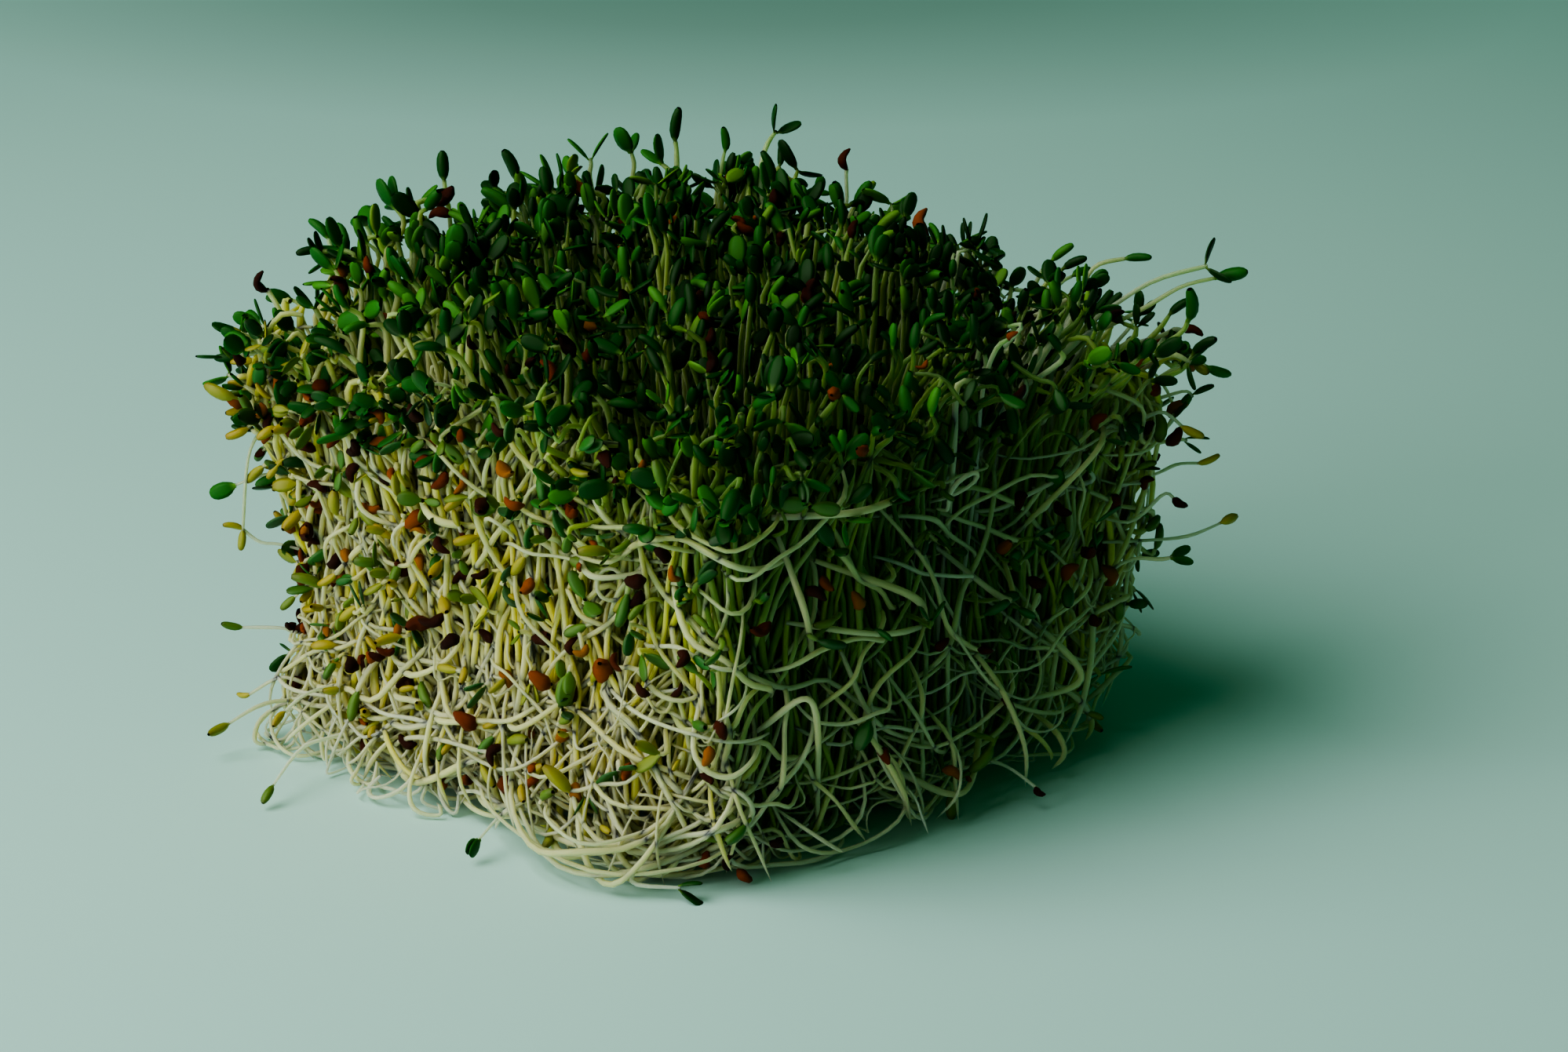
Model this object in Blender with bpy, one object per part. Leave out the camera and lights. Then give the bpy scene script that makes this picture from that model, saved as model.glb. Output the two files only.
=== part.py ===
"""Pile of alfalfa sprouts: a dense block about 12 cm across and 9 cm tall, standing on its roots.

The sprouts stand side by side, their pale stems and roots in one mass and their dark seed leaves
in a layer over it. The block is parted into nine tufts, three rows of three, and each tuft is two
solids: its stems and its leaves. A solid has an inner body, and its stems, roots, leaves and seed
coats are rooted in that body and stand out of it. Row 1 is the front (-Y), column 1 the left (-X).

Lengths are in millimetres until a solid is finished, and in metres after that. +Z is up.
"""
import math
import random

import bmesh
import bpy
from mathutils import Matrix, Vector

MM = 0.001

# The block
HALF = 51.5             # from its axis to the middle of each side, at the foot
SIDE_BOW = 0.05         # how far the sides bow out between the corners, as a share
CORNER_ROUND = 0.02     # how far the corners are rounded off, as a share
CROWN = 80.5            # height of the leaf tips over the axis
LEAF_FLOOR = 58.0       # where the stems end and the leaf layer starts
# Height and width, against the foot, of the block's outline
OUTLINE = ((0, 0.97), (9, 1.0), (26, 0.975), (42, 0.985), (56, 1.03), (67, 1.07), (90, 1.03))
# Centre, reach and height of the places where the sides swell out or draw in
SWELLS = (
    ((-52, -50, 68), 16, 4.0),
    ((27, -52, 5), 15, 5.0),
    ((-49, -49, 2), 14, 2.0),
    ((50, -50, 0), 14, -5.0),
    ((51, 4, 46), 20, -4.0),
    ((51, -8, 22), 20, 2.0),
    ((49, 49, 0), 18, -7.0),
    ((-50, -50, 26), 14, -3.5),
    ((-52, 14, 36), 18, -3.0),
    ((-51, 24, 8), 16, 3.0),
    ((8, 52, 30), 22, -3.0),
    ((-20, 52, 12), 16, 3.0),
)

# The tufts
ROWS = 3
TUFT_PITCH = 33.0
TUFT_SHIFT = 3.5        # how far a tuft's middle strays from an even grid
FLOOR_SHIFT = 1.5       # how far a tuft's leaf floor strays from the others
GAP = 0.3               # between neighbouring solids
CLEAR = 0.05            # what stands out of a solid is bent at least this far inside its walls
STEM_INSET = (2.4, 4.0) # the stems' inner body lies this far in from the block's sides
LEAF_INSET = (3.0, 5.0) # and the leaves' inner body this far
BODY_SINK = (6.0, 8.2)  # the leaves' inner body lies this far under their tips
BODY_RISE = (1.3, 4.0)  # height of the underside of the stems' inner bodies
REST_SPOT = 0.3         # the pile rests on a flat spot this share of its width, at its middle
BODY_GRID = 8           # faces along each side of an inner body
ROOTED = 5.0            # how far under the sides a stem's ends are sunk
SPECK = 0.5             # edges shorter than this are closed up
SLIVER = 0.0005         # and a face smaller than this may turn over where they are

# The block's axis is set this much off the origin, which is the middle of the whole pile's box
AXIS = (-0.5, 4.8)

# What stands out of the tufts
STEM_WIDTH = 2.1
ROOT_WIDTH = 1.5
LEAF_LENGTH = 11.0
LEAF_WIDTH = 6.6
LEAF_THICKNESS = 1.1
BEAN_SIZE = (6.8, 3.2, 2.4)     # length, width and thickness of a shut pair of leaves
COAT_SIZE = (6.2, 2.8, 2.4)     # and of a seed coat
LOOSE_LENGTH = 5.0      # seed leaves of the sprouts that stand clear
LOOSE_WIDTH = 1.3       # and their stems
LOOSE_LEAF = (6.0, 3.0, 1.4)    # a leaf that has parted from them: length, width and thickness
LOOSE_HEAD = ((0.35, 2.9), (0.8, 2.9), (1.0, 0.8))  # places along their shut leaves, and widths
CANOPY_ROWS = 9         # heads across the top of the leaf layer, each way
RIM_HEADS = 26          # heads in each ring round the leaf layer
RIM_HEIGHTS = (3.0, 7.5, 12.0)
THREE_SIDED = 0.58      # a stem's corners stand this far from its middle, against its width
STEMS_PER_SIDE = 18
TANGLES_PER_SIDE = 3
BEANS_PER_SIDE = 6
COATS_PER_SIDE = 3
ROOTS_PER_TUFT = 2

# Strands that cross the front, as places along X and up it
FRONT_STRANDS = (
    ((-25, 54), (-23, 44), (-12, 40)),
    ((-15, 51), (-6, 46), (4, 45)),
    ((18, 47), (27, 44), (38, 46)),
    ((-26, 12), (-15, 3), (-1, 9), (6, 16)),
    ((-6, 6), (5, 4), (17, 9)),
    ((12, 8), (22, 2), (36, 9)),
    ((3, 20), (12, 18), (27, 31)),
    ((-14, 3), (2, 2), (12, 3)),
)
# Strands that cross the right side, as places along Y and up it
RIGHT_STRANDS = (
    ((-42, 54), (-30, 54), (-9, 50)),
    ((-40, 51), (-38, 41), (-30, 31)),
    ((-4, 30), (-16, 38), (-30, 45)),
    ((-4, 29), (-23, 34), (-36, 37)),
    ((38, 52), (27, 50), (18, 37)),
    ((0, 40), (9, 31), (16, 36)),
    ((-43, 22), (-36, 27), (-29, 5)),
    ((-16, 11), (-5, 5), (7, 12)),
    ((18, 27), (26, 15), (15, 12)),
    ((46, 20), (40, 24), (30, 20)),
)
# Sprouts that hang or stand clear of the block: root, bend, tip and what is at the tip
LOOSE_SPROUTS = (
    ((-42, -46, 43), (-48, -50, 44), (-51, -55, 41), "open"),
    ((-42, -45, 36), (-46, -50, 37), (-47, -54, 33), "bean"),
    ((-42, -44, 17), (-48, -52, 19), (-53, -57, 19), "bean"),
    ((-38, -44, 15), (-40, -52, 19), (-40, -56, 18), "open"),
    ((-36, -44, 10), (-41, -57, 13), (-43, -62, 10), "bean"),
    ((-41, -43, 5), (-45, -55, 8), (-49, -62, 4), "bean"),
    ((-34, -43, 5), (-38, -58, 4), (-36, -69, 2), "bean"),
    ((-52, -42, 66), (-54, -43, 70), (-54, -44, 74), "coat"),
    ((-48, -31, 68), (-53, -31, 75), (-55, -31, 80), "bean"),
    ((-48, -22, 70), (-53, -23, 76), (-55, -24, 81), "open"),
    ((-46, -12, 72), (-47, -12, 80), (-49, -11, 87), "bean"),
    ((-46, 6, 72), (-50, 6, 79), (-51, 7, 84), "bean"),
    ((-44, 19, 72), (-47, 20, 81), (-48, 20, 86), "open"),
    ((-42, 28, 72), (-45, 28, 80), (-47, 28, 86), "open"),
    ((-42, 37, 72), (-45, 38, 81), (-47, 39, 86), "bean"),
    ((-38, 43, 72), (-41, 45, 79), (-41, 47, 84), "bean"),
    ((-29, 43, 70), (-33, 47, 82), (-29, 48, 88), "open"),
    ((-16, 44, 70), (-17, 49, 79), (-17, 50, 84), "coat"),
    ((40, 36, 64), (48, 43, 70), (56, 52, 74), "open"),
    ((38, 40, 64), (46, 46, 72), (51, 53, 75), "bean"),
    ((32, 38, 64), (37, 42, 72), (43, 48, 75), "bean"),
    ((46, 36, 63), (54, 42, 66), (58, 45, 66), "bean"),
    ((46, 32, 62), (56, 38, 65), (61, 42, 62), "open"),
    ((46, 34, 46), (53, 38, 49), (58, 42, 49), "open"),
    ((46, 38, 34), (54, 45, 35), (60, 50, 36), "bean"),
    ((46, 36, 26), (54, 42, 30), (58, 45, 31), "open"),
    ((10, -44, 6), (10, -56, 5), (12, -65, 2), "open"),
    ((30, -46, 6), (37, -57, 2), (46, -52, 2), "open"),
    ((43, 8, 5), (54, 6, 6), (61, 8, 2), "coat"),
)

STEM_COLOUR = (0.62, 0.58, 0.36)
LEAF_COLOUR = (0.028, 0.085, 0.02)


def outline(z):
    """How wide the block is at a height, against its foot."""
    for (low, narrow), (high, wide) in zip(OUTLINE, OUTLINE[1:]):
        if z <= high:
            t = max(0.0, (z - low) / (high - low))
            return narrow + (wide - narrow) * t * t * (3 - 2 * t)
    return OUTLINE[-1][1]


def place(u, v, z):
    """A point of the block at a height: u along X and v along Y run from -1 to 1, side to side."""
    half = HALF * outline(z) * (1 - CORNER_ROUND * (u * v) ** 4)
    x = half * u * math.sqrt(1 - SIDE_BOW * v * v)
    y = half * v * math.sqrt(1 - SIDE_BOW * u * u)
    point = Vector((x, y, z))
    swell = 0.0
    for centre, reach, height in SWELLS:
        swell += height * math.exp(-(point - Vector(centre)).length_squared / reach ** 2)
    grow = 1 + swell / HALF
    return Vector((x * grow, y * grow, z))


def crown(u, v):
    """Height of the leaf tips: a low dome that falls away to the right."""
    lumps = 1.3 * math.sin(5.1 * u + 1.3) * math.sin(4.3 * v + 0.4)
    return CROWN + lumps - 3.5 * u + 1.5 * v - 3.2 * u * u - 3.0 * v * v


def underside(draw, u, v):
    """Height of the root mat's underside: uneven, with a small flat spot that the pile rests on."""
    return 0.0 if max(abs(u), abs(v)) < REST_SPOT else draw.uniform(*BODY_RISE)


def around(s):
    """The u and v of a place on the sides: s runs from 0 to 4, one for each side, from the front."""
    side = int(s) % 4
    t = 2 * (s % 1) - 1
    return ((t, -1), (1, t), (-t, 1), (-1, -t))[side]


def outward(u, v):
    """The level direction away from the block."""
    return Vector((u ** 5, v ** 5, 0)).normalized()


def on_side(s, z, out=0.0):
    """A point that stands out from the block's side."""
    u, v = around(s)
    return place(u, v, z) + outward(u, v) * out


def smooth_path(points, count):
    """The points of a smooth curve through a few places."""
    ends = [points[0] * 2 - points[1], *points, points[-1] * 2 - points[-2]]
    path = []
    for i in range(count):
        spot = i / (count - 1) * (len(points) - 1)
        k = min(int(spot), len(points) - 2)
        t = spot - k
        a, b, c, d = ends[k:k + 4]
        path.append((b * 2 + (c - a) * t + (a * 2 - b * 5 + c * 4 - d) * t ** 2
                     + (b * 3 - a - c * 3 + d) * t ** 3) / 2)
    return path


def tube(path, widths):
    """A three-sided stem with a width at each point of its path, as points and faces."""
    points = []
    last = len(path) - 1
    side = Vector((0.31, 0.52, 0.79))
    for i, centre in enumerate(path):
        along = (path[min(i + 1, last)] - path[max(i - 1, 0)]).normalized()
        side = (side - along * side.dot(along)).normalized()
        other = along.cross(side)
        for k in range(3):
            turn = k * math.tau / 3
            spoke = side * math.cos(turn) + other * math.sin(turn)
            points.append(centre + spoke * (THREE_SIDED * widths[i]))
    faces = [(2, 1, 0), (3 * last, 3 * last + 1, 3 * last + 2)]
    for i in range(0, 3 * last, 3):
        for k in range(3):
            a, b = i + k, i + (k + 1) % 3
            faces.append((a, b, b + 3))
            faces.append((a, b + 3, a + 3))
    return points, faces


def leaf(base, along, facing, length, width, thickness):
    """A plump seed leaf: a spoon-shaped rim round a raised middle, as points and faces."""
    across = along.cross(facing).normalized()
    facing = across.cross(along)
    rim = ((0.0, 0.0), (0.42, 0.42), (0.82, 0.44), (1.03, 0.0), (0.82, -0.44), (0.42, -0.42))
    points = []
    for t, w in rim:
        cup = 0.35 * length * (t - 0.5) ** 2
        points.append(base + along * (t * length) + across * (w * width) + facing * cup)
    middle = base + along * (0.55 * length)
    points.append(middle + facing * (thickness / 2))
    points.append(middle - facing * (thickness / 2))
    faces = []
    for k in range(6):
        faces.append((k, (k + 1) % 6, 6))
        faces.append(((k + 1) % 6, k, 7))
    return points, faces


def open_head(tip, along, turn, spread, size=1.0):
    """The two seed leaves of a sprout, parted in a V."""
    level = along.orthogonal().normalized()
    across = Matrix.Rotation(turn, 3, along) @ level
    leaves = []
    for way in (-1, 1):
        reach = along * math.cos(spread) + across * (way * math.sin(spread))
        facing = along * math.sin(spread) - across * (way * math.cos(spread))
        base = tip + across * (way * 0.9 * size)
        leaves.append(leaf(base, reach, facing, LEAF_LENGTH * size, LEAF_WIDTH * size,
                           LEAF_THICKNESS))
    return leaves


def bean(tip, along, turn, size=1.0):
    """Two seed leaves still shut, as one plump body."""
    facing = Matrix.Rotation(turn, 3, along) @ along.orthogonal().normalized()
    return [leaf(tip, along, facing, *(side * size for side in BEAN_SIZE))]


def seed_coat(tip, along, turn):
    """A cast seed coat, or one still on its leaves."""
    facing = Matrix.Rotation(turn, 3, along) @ along.orthogonal().normalized()
    return [leaf(tip, along, facing, *COAT_SIZE)]


class Room:
    """The space of one solid: upright walls to its neighbours, a floor and a ceiling."""

    def __init__(self, walls, floor, ceiling):
        self.walls = walls
        self.floor = floor
        self.ceiling = ceiling

    def way_in(self, points, margin):
        """The shift that brings some points clear of the walls, the floor and the ceiling."""
        shift = Vector((0, 0, 0))
        for _ in range(6):
            for normal, distance in self.walls:
                over = max((p + shift).dot(normal) for p in points) + margin - distance
                if over > 0:
                    shift -= normal * over
        shift.z += max(0.0, self.floor + margin - min(p.z for p in points))
        shift.z -= max(0.0, max(p.z for p in points) + margin - self.ceiling)
        return shift

    def holds(self, point, margin):
        """Whether a point is clear of the walls, the floor and the ceiling."""
        inside = all(point.dot(normal) + margin < distance for normal, distance in self.walls)
        return inside and self.floor + margin < point.z < self.ceiling - margin


def tuft_middles(draw):
    """The middle of each tuft, by its row and column."""
    middles = {}
    for row in range(ROWS):
        for column in range(ROWS):
            x = (column - 1) * TUFT_PITCH + draw.uniform(-TUFT_SHIFT, TUFT_SHIFT)
            y = (row - 1) * TUFT_PITCH + draw.uniform(-TUFT_SHIFT, TUFT_SHIFT)
            middles[row, column] = Vector((x, y, 0))
    return middles


def tuft_walls(middle, middles):
    """The upright planes halfway to the other tufts, each as a normal and a distance."""
    walls = []
    for other in middles.values():
        if other is not middle:
            normal = (other - middle).normalized()
            walls.append((normal, normal.dot((other + middle) / 2) - GAP / 2))
    return walls


def inner_block(draw, levels, inset, upper, lower):
    """An uneven body for the whole block, before it is parted.

    It has rings of points at some levels, drawn in from the block's sides by the inset. The upper
    and the lower function give the height of the top and of the underside, or None for a flat one.
    """
    solid = bmesh.new()
    rings = []
    for z in levels:
        ring = []
        for k in range(4 * BODY_GRID):
            height = z
            if upper and z == levels[-1]:
                height = upper(*around(k / BODY_GRID))
            if lower and z == levels[0]:
                height = lower(*around(k / BODY_GRID))
            ring.append(solid.verts.new(on_side(k / BODY_GRID, height, -draw.uniform(*inset))))
        rings.append(ring)
    for below, above in zip(rings, rings[1:]):
        for k in range(4 * BODY_GRID):
            n = (k + 1) % (4 * BODY_GRID)
            solid.faces.new((below[k], below[n], above[n]))
            solid.faces.new((below[k], above[n], above[k]))
    close_ring(solid, rings[-1], upper, False)
    close_ring(solid, rings[0], lower, True)
    return solid


def close_ring(solid, ring, height, under):
    """Closes a body's top or underside, with one flat face or with a grid of uneven ones."""
    if height is None:
        solid.faces.new(reversed(ring) if under else ring)
        return
    n = BODY_GRID
    points = {}
    for k in range(n):
        points[k, 0] = ring[k]
        points[n, k] = ring[n + k]
        points[n - k, n] = ring[2 * n + k]
        points[0, n - k] = ring[3 * n + k]
    for i in range(1, n):
        for j in range(1, n):
            u, v = 1.9 * i / n - 0.95, 1.9 * j / n - 0.95
            points[i, j] = solid.verts.new(place(u, v, height(u, v)))
    for i in range(n):
        for j in range(n):
            corners = [points[i, j], points[i + 1, j], points[i + 1, j + 1], points[i, j + 1]]
            if under:
                corners.reverse()
            solid.faces.new(corners[:3])
            solid.faces.new((corners[0], corners[2], corners[3]))


def cut_to_room(solid, room):
    """Cuts a body along a tuft's walls and closes the cuts."""
    for normal, distance in room.walls:
        everything = solid.verts[:] + solid.edges[:] + solid.faces[:]
        cut = bmesh.ops.bisect_plane(solid, geom=everything, dist=1e-5, plane_co=normal * distance,
                                     plane_no=normal, clear_outer=True)
        rim = [edge for edge in cut["geom_cut"] if isinstance(edge, bmesh.types.BMEdge)]
        if rim:
            bmesh.ops.holes_fill(solid, edges=rim, sides=0)
    bmesh.ops.triangulate(solid, faces=solid.faces[:])
    mesh = bpy.data.meshes.new("body")
    solid.to_mesh(mesh)
    solid.free()
    return mesh


def keep_one_body(mesh):
    """Drops loose scraps and sealed hollows, which leaves the largest closed surface."""
    solid = bmesh.new()
    solid.from_mesh(mesh)
    left = set(solid.verts)
    bodies = []
    while left:
        reached = {left.pop()}
        waiting = list(reached)
        while waiting:
            vertex = waiting.pop()
            for edge in vertex.link_edges:
                other = edge.other_vert(vertex)
                if other not in reached:
                    reached.add(other)
                    waiting.append(other)
        left -= reached
        bodies.append(reached)
    bodies.sort(key=len)
    for body in bodies[:-1]:
        bmesh.ops.delete(solid, geom=list(body), context="VERTS")
    bmesh.ops.triangulate(solid, faces=solid.faces[:])
    close_specks(solid)
    solid.to_mesh(mesh)
    solid.free()


def close_specks(solid):
    """Merges the ends of very short edges, where the surface stays whole and turns nothing over."""
    while True:
        short = [edge for edge in solid.edges if edge.calc_length() < SPECK and can_close(edge)]
        if not short:
            return
        edge = min(short, key=lambda e: e.calc_length())
        ends = list(edge.verts)
        bmesh.ops.pointmerge(solid, verts=ends, merge_co=(ends[0].co + ends[1].co) / 2)


def can_close(edge):
    """Whether an edge can shrink to a point with no pinch and no face turned over."""
    one, other = edge.verts
    near_one = {e.other_vert(one) for e in one.link_edges}
    near_other = {e.other_vert(other) for e in other.link_edges}
    shared = near_one & near_other
    if len(shared) != 2 or any(len(vertex.link_edges) < 4 for vertex in shared):
        return False
    middle = (one.co + other.co) / 2
    for vertex in (one, other):
        for face in vertex.link_faces:
            if edge in face.edges or face.calc_area() < SLIVER:
                continue
            corners = [middle if v is vertex else v.co for v in face.verts]
            normal = (corners[1] - corners[0]).cross(corners[2] - corners[0])
            if normal.normalized().dot(face.normal) < 0.5:
                return False
    return True


def colour(name, shade, roughness):
    """A plain finish."""
    finish = bpy.data.materials.new(name)
    finish.use_nodes = True
    shader = finish.node_tree.nodes["Principled BSDF"]
    shader.inputs["Base Color"].default_value = (*shade, 1)
    shader.inputs["Roughness"].default_value = roughness
    shader.inputs["Metallic"].default_value = 0
    return finish


def fuse(name, body, pieces, finish):
    """Joins what stands out of a tuft to its inner body, as one solid in metres."""
    whole = bpy.data.objects.new(name, body)
    bpy.context.scene.collection.objects.link(whole)
    if pieces:
        unite(whole, pieces)
    whole.data.transform(Matrix.Scale(MM, 4) @ Matrix.Translation((*AXIS, 0)))
    whole.data.materials.clear()
    whole.data.materials.append(finish)


def unite(whole, pieces):
    """Joins closed pieces to a body."""
    group = bpy.data.collections.new("pieces")
    bpy.context.scene.collection.children.link(group)
    for points, faces in pieces:
        mesh = bpy.data.meshes.new("piece")
        mesh.from_pydata(points, [], faces)
        group.objects.link(bpy.data.objects.new("piece", mesh))
    union = whole.modifiers.new("Union", "BOOLEAN")
    union.operation = "UNION"
    union.operand_type = "COLLECTION"
    union.collection = group
    union.solver = "MANIFOLD"
    with bpy.context.temp_override(object=whole, active_object=whole):
        bpy.ops.object.modifier_apply(modifier=union.name)
    for piece in list(group.objects):
        bpy.data.objects.remove(piece)
    bpy.data.collections.remove(group)
    keep_one_body(whole.data)


class Growth:
    """One thing that stands out of a tuft: a stem with or without leaves, or leaves alone.

    A stem has a width at each point of its path. One that is held at both ends stops short of a
    neighbouring tuft, and one that is free at its tip is bent clear of it with its leaves.
    """

    def __init__(self, path=(), widths=(), leaves=(), both_ends=False):
        self.path = list(path)
        self.widths = list(widths)
        self.leaves = list(leaves)
        self.both_ends = both_ends

    def root(self):
        """Where it is rooted."""
        return self.path[0] if self.path else self.leaves[0][0][0]

    def solids(self, room):
        """Its closed meshes, clear of the neighbouring tufts."""
        meshes = []
        shift = Vector((0, 0, 0))
        if self.leaves:
            shift = room.way_in([p for points, _ in self.leaves for p in points], CLEAR)
            meshes = [([p + shift for p in points], faces) for points, faces in self.leaves]
        stem = list(zip(self.path, self.widths))
        if self.both_ends:
            stem = [(p, w) for p, w in stem if room.holds(p, THREE_SIDED * w + CLEAR)]
        else:
            last = max(1, len(stem) - 1)
            stem = [(p + shift * (i / last), w) for i, (p, w) in enumerate(stem)]
            stem = [(p + room.way_in([p], THREE_SIDED * w + CLEAR), w) for p, w in stem]
        if len(stem) > 2:
            meshes.append(tube([p for p, _ in stem], [w for _, w in stem]))
        return meshes


def strand(path, width):
    """A stem or root that leaves the block and comes back to it, thinner at both ends."""
    widths = [width] * len(path)
    widths[0] = widths[-1] = 0.7 * width
    return Growth(path, widths, both_ends=True)


def canopy_heads(draw):
    """The leaves over the top of the block."""
    heads = []
    for row in range(CANOPY_ROWS):
        for column in range(CANOPY_ROWS):
            u = (column + 0.5 + draw.uniform(-0.3, 0.3)) * 2 / CANOPY_ROWS - 1
            v = (row + 0.5 + draw.uniform(-0.3, 0.3)) * 2 / CANOPY_ROWS - 1
            root = place(u * 0.88, v * 0.88, crown(u, v) - BODY_SINK[1] - 0.5)
            lean = Vector((u * abs(u) + draw.uniform(-0.3, 0.3),
                           v * abs(v) + draw.uniform(-0.3, 0.3), 1.6)).normalized()
            turn = draw.uniform(0, math.tau)
            size = draw.uniform(0.85, 1.15)
            if draw.random() < 0.75:
                leaves = open_head(root, lean, turn, draw.uniform(0.5, 1.0), size)
            else:
                leaves = bean(root, lean, turn, 1.6 * size)
            heads.append(Growth(leaves=leaves))
    return heads


def rim_heads(draw):
    """The leaves round the sides of the leaf layer, which hang over the stems."""
    heads = []
    for height in RIM_HEIGHTS:
        for k in range(RIM_HEADS):
            s = (k + draw.uniform(0.1, 0.9)) * 4 / RIM_HEADS
            z = LEAF_FLOOR + height + draw.uniform(-1.5, 1.5)
            root = on_side(s, z, -LEAF_INSET[1] - 0.5)
            away = outward(*around(s))
            along = away + away.cross(Vector((0, 0, 1))) * draw.uniform(-0.7, 0.7)
            along.z = draw.uniform(-0.4, 1.0)
            turn = draw.uniform(0, math.tau)
            size = draw.uniform(0.85, 1.05)
            if draw.random() < 0.8:
                leaves = open_head(root, along.normalized(), turn, draw.uniform(0.7, 1.15), size)
            else:
                leaves = bean(root, along.normalized(), turn, 1.2)
            heads.append(Growth(leaves=leaves))
    return heads


def side_stems(draw):
    """Upright stems that stand clear of the sides, rooted above and below."""
    stems = []
    for k in range(4 * STEMS_PER_SIDE):
        s = (k + draw.uniform(0.15, 0.85)) / STEMS_PER_SIDE
        low = draw.uniform(1.5, 12)
        high = LEAF_FLOOR - draw.uniform(1, 4)
        drift = draw.uniform(-0.045, 0.045)
        path = []
        for t in (0, 0.1, 0.5, 0.9, 1):
            out = -ROOTED if t in (0, 1) else draw.uniform(-1.2, 0.4)
            way = s + drift * t + draw.uniform(-0.01, 0.01)
            path.append(on_side(way, low + (high - low) * t, out))
        stems.append(strand(path, STEM_WIDTH * draw.uniform(0.85, 1.1)))
    return stems


def tangles(draw):
    """Roots and bent stems that loop over the lower half of the sides."""
    strands = []
    for k in range(4 * TANGLES_PER_SIDE):
        s = (k + draw.uniform(0.0, 1.0)) / TANGLES_PER_SIDE
        z = draw.uniform(6, 30)
        span = draw.uniform(0.09, 0.17) * draw.choice((-1, 1))
        rise = draw.uniform(-12, 12)
        sag = draw.uniform(-7, 7)
        path = []
        for i in range(6):
            t = i / 5
            bow = math.sin(math.pi * t)
            out = -ROOTED + (ROOTED + draw.uniform(0.3, 2.0)) * min(1.0, 1.6 * bow)
            height = z + rise * (t - 0.5) + sag * bow
            path.append(on_side(s + span * (t - 0.5), max(2.5, height), out))
        strands.append(strand(path, ROOT_WIDTH * draw.uniform(0.9, 1.2)))
    return strands


def drawn_strands():
    """The long strands that cross the front and the right side."""
    strands = []
    for first_side, runs in ((0, FRONT_STRANDS), (1, RIGHT_STRANDS)):
        for run in runs:
            places = []
            for i, (level, z) in enumerate(run):
                share = max(-0.98, min(0.98, level / (HALF * outline(z))))
                out = -ROOTED if i in (0, len(run) - 1) else 2.2
                places.append(on_side(first_side + (share + 1) / 2, z, out))
            strands.append(strand(smooth_path(places, 6), ROOT_WIDTH))
    return strands


def side_beans(draw):
    """Shut seed leaves and seed coats caught among the stems of the sides."""
    growths = []
    for count, make, low in ((BEANS_PER_SIDE, bean, 6), (COATS_PER_SIDE, seed_coat, 3)):
        for k in range(4 * count):
            s = (k + draw.uniform(0.0, 1.0)) / count
            root = on_side(s, draw.uniform(low, LEAF_FLOOR - 2), -STEM_INSET[1] - 0.3)
            away = outward(*around(s))
            along = away + away.cross(Vector((0, 0, 1))) * draw.uniform(-0.5, 0.5)
            along.z = draw.uniform(-0.6, 0.8)
            growths.append(Growth(leaves=make(root, along.normalized(), draw.uniform(0, math.tau))))
    return growths


def underside_roots(draw, middle):
    """Roots that lie under a tuft."""
    roots = []
    for _ in range(ROOTS_PER_TUFT):
        heading = draw.uniform(0, math.tau)
        reach = Vector((math.cos(heading), math.sin(heading), 0)) * draw.uniform(6, 9)
        bow = reach.orthogonal().normalized() * draw.uniform(-3, 3)
        bow.z = 0
        centre = middle + Vector((draw.uniform(-7, 7), draw.uniform(-7, 7), 0))
        path = []
        for i in range(6):
            t = i / 2.5 - 1
            depth = BODY_RISE[1] + 1.5 if i in (0, 5) else BODY_RISE[0]
            path.append(centre + reach * t + bow * (1 - t * t) + Vector((0, 0, depth)))
        roots.append(strand(path, ROOT_WIDTH))
    return roots


def loose_sprouts(draw):
    """The sprouts that hang or stand clear of the block."""
    sprouts = []
    for root, bend, tip, kind in LOOSE_SPROUTS:
        root, bend, tip = Vector(root), Vector(bend), Vector(tip)
        along = (tip - bend).normalized()
        neck = tip - along * LOOSE_LENGTH
        path = smooth_path([root, bend, neck], 4)
        widths = [LOOSE_WIDTH] * 4
        for share, width in LOOSE_HEAD:
            path.append(neck + (tip - neck) * share)
            widths.append(width)
        leaves = []
        if kind == "open":
            across = Matrix.Rotation(draw.uniform(0, math.tau), 3, along) @ along.orthogonal()
            reach = (along + across * 0.8).normalized()
            length, width, thickness = LOOSE_LEAF
            leaves.append(leaf(neck - along * 1.2, reach, along - across, length, width, thickness))
        sprouts.append(Growth(path, widths, leaves))
    return sprouts


def nearest(point, middles):
    """The row and column of the tuft that a point belongs to."""
    level = Vector((point.x, point.y, 0))
    return min(middles, key=lambda tuft: (middles[tuft] - level).length)


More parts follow.
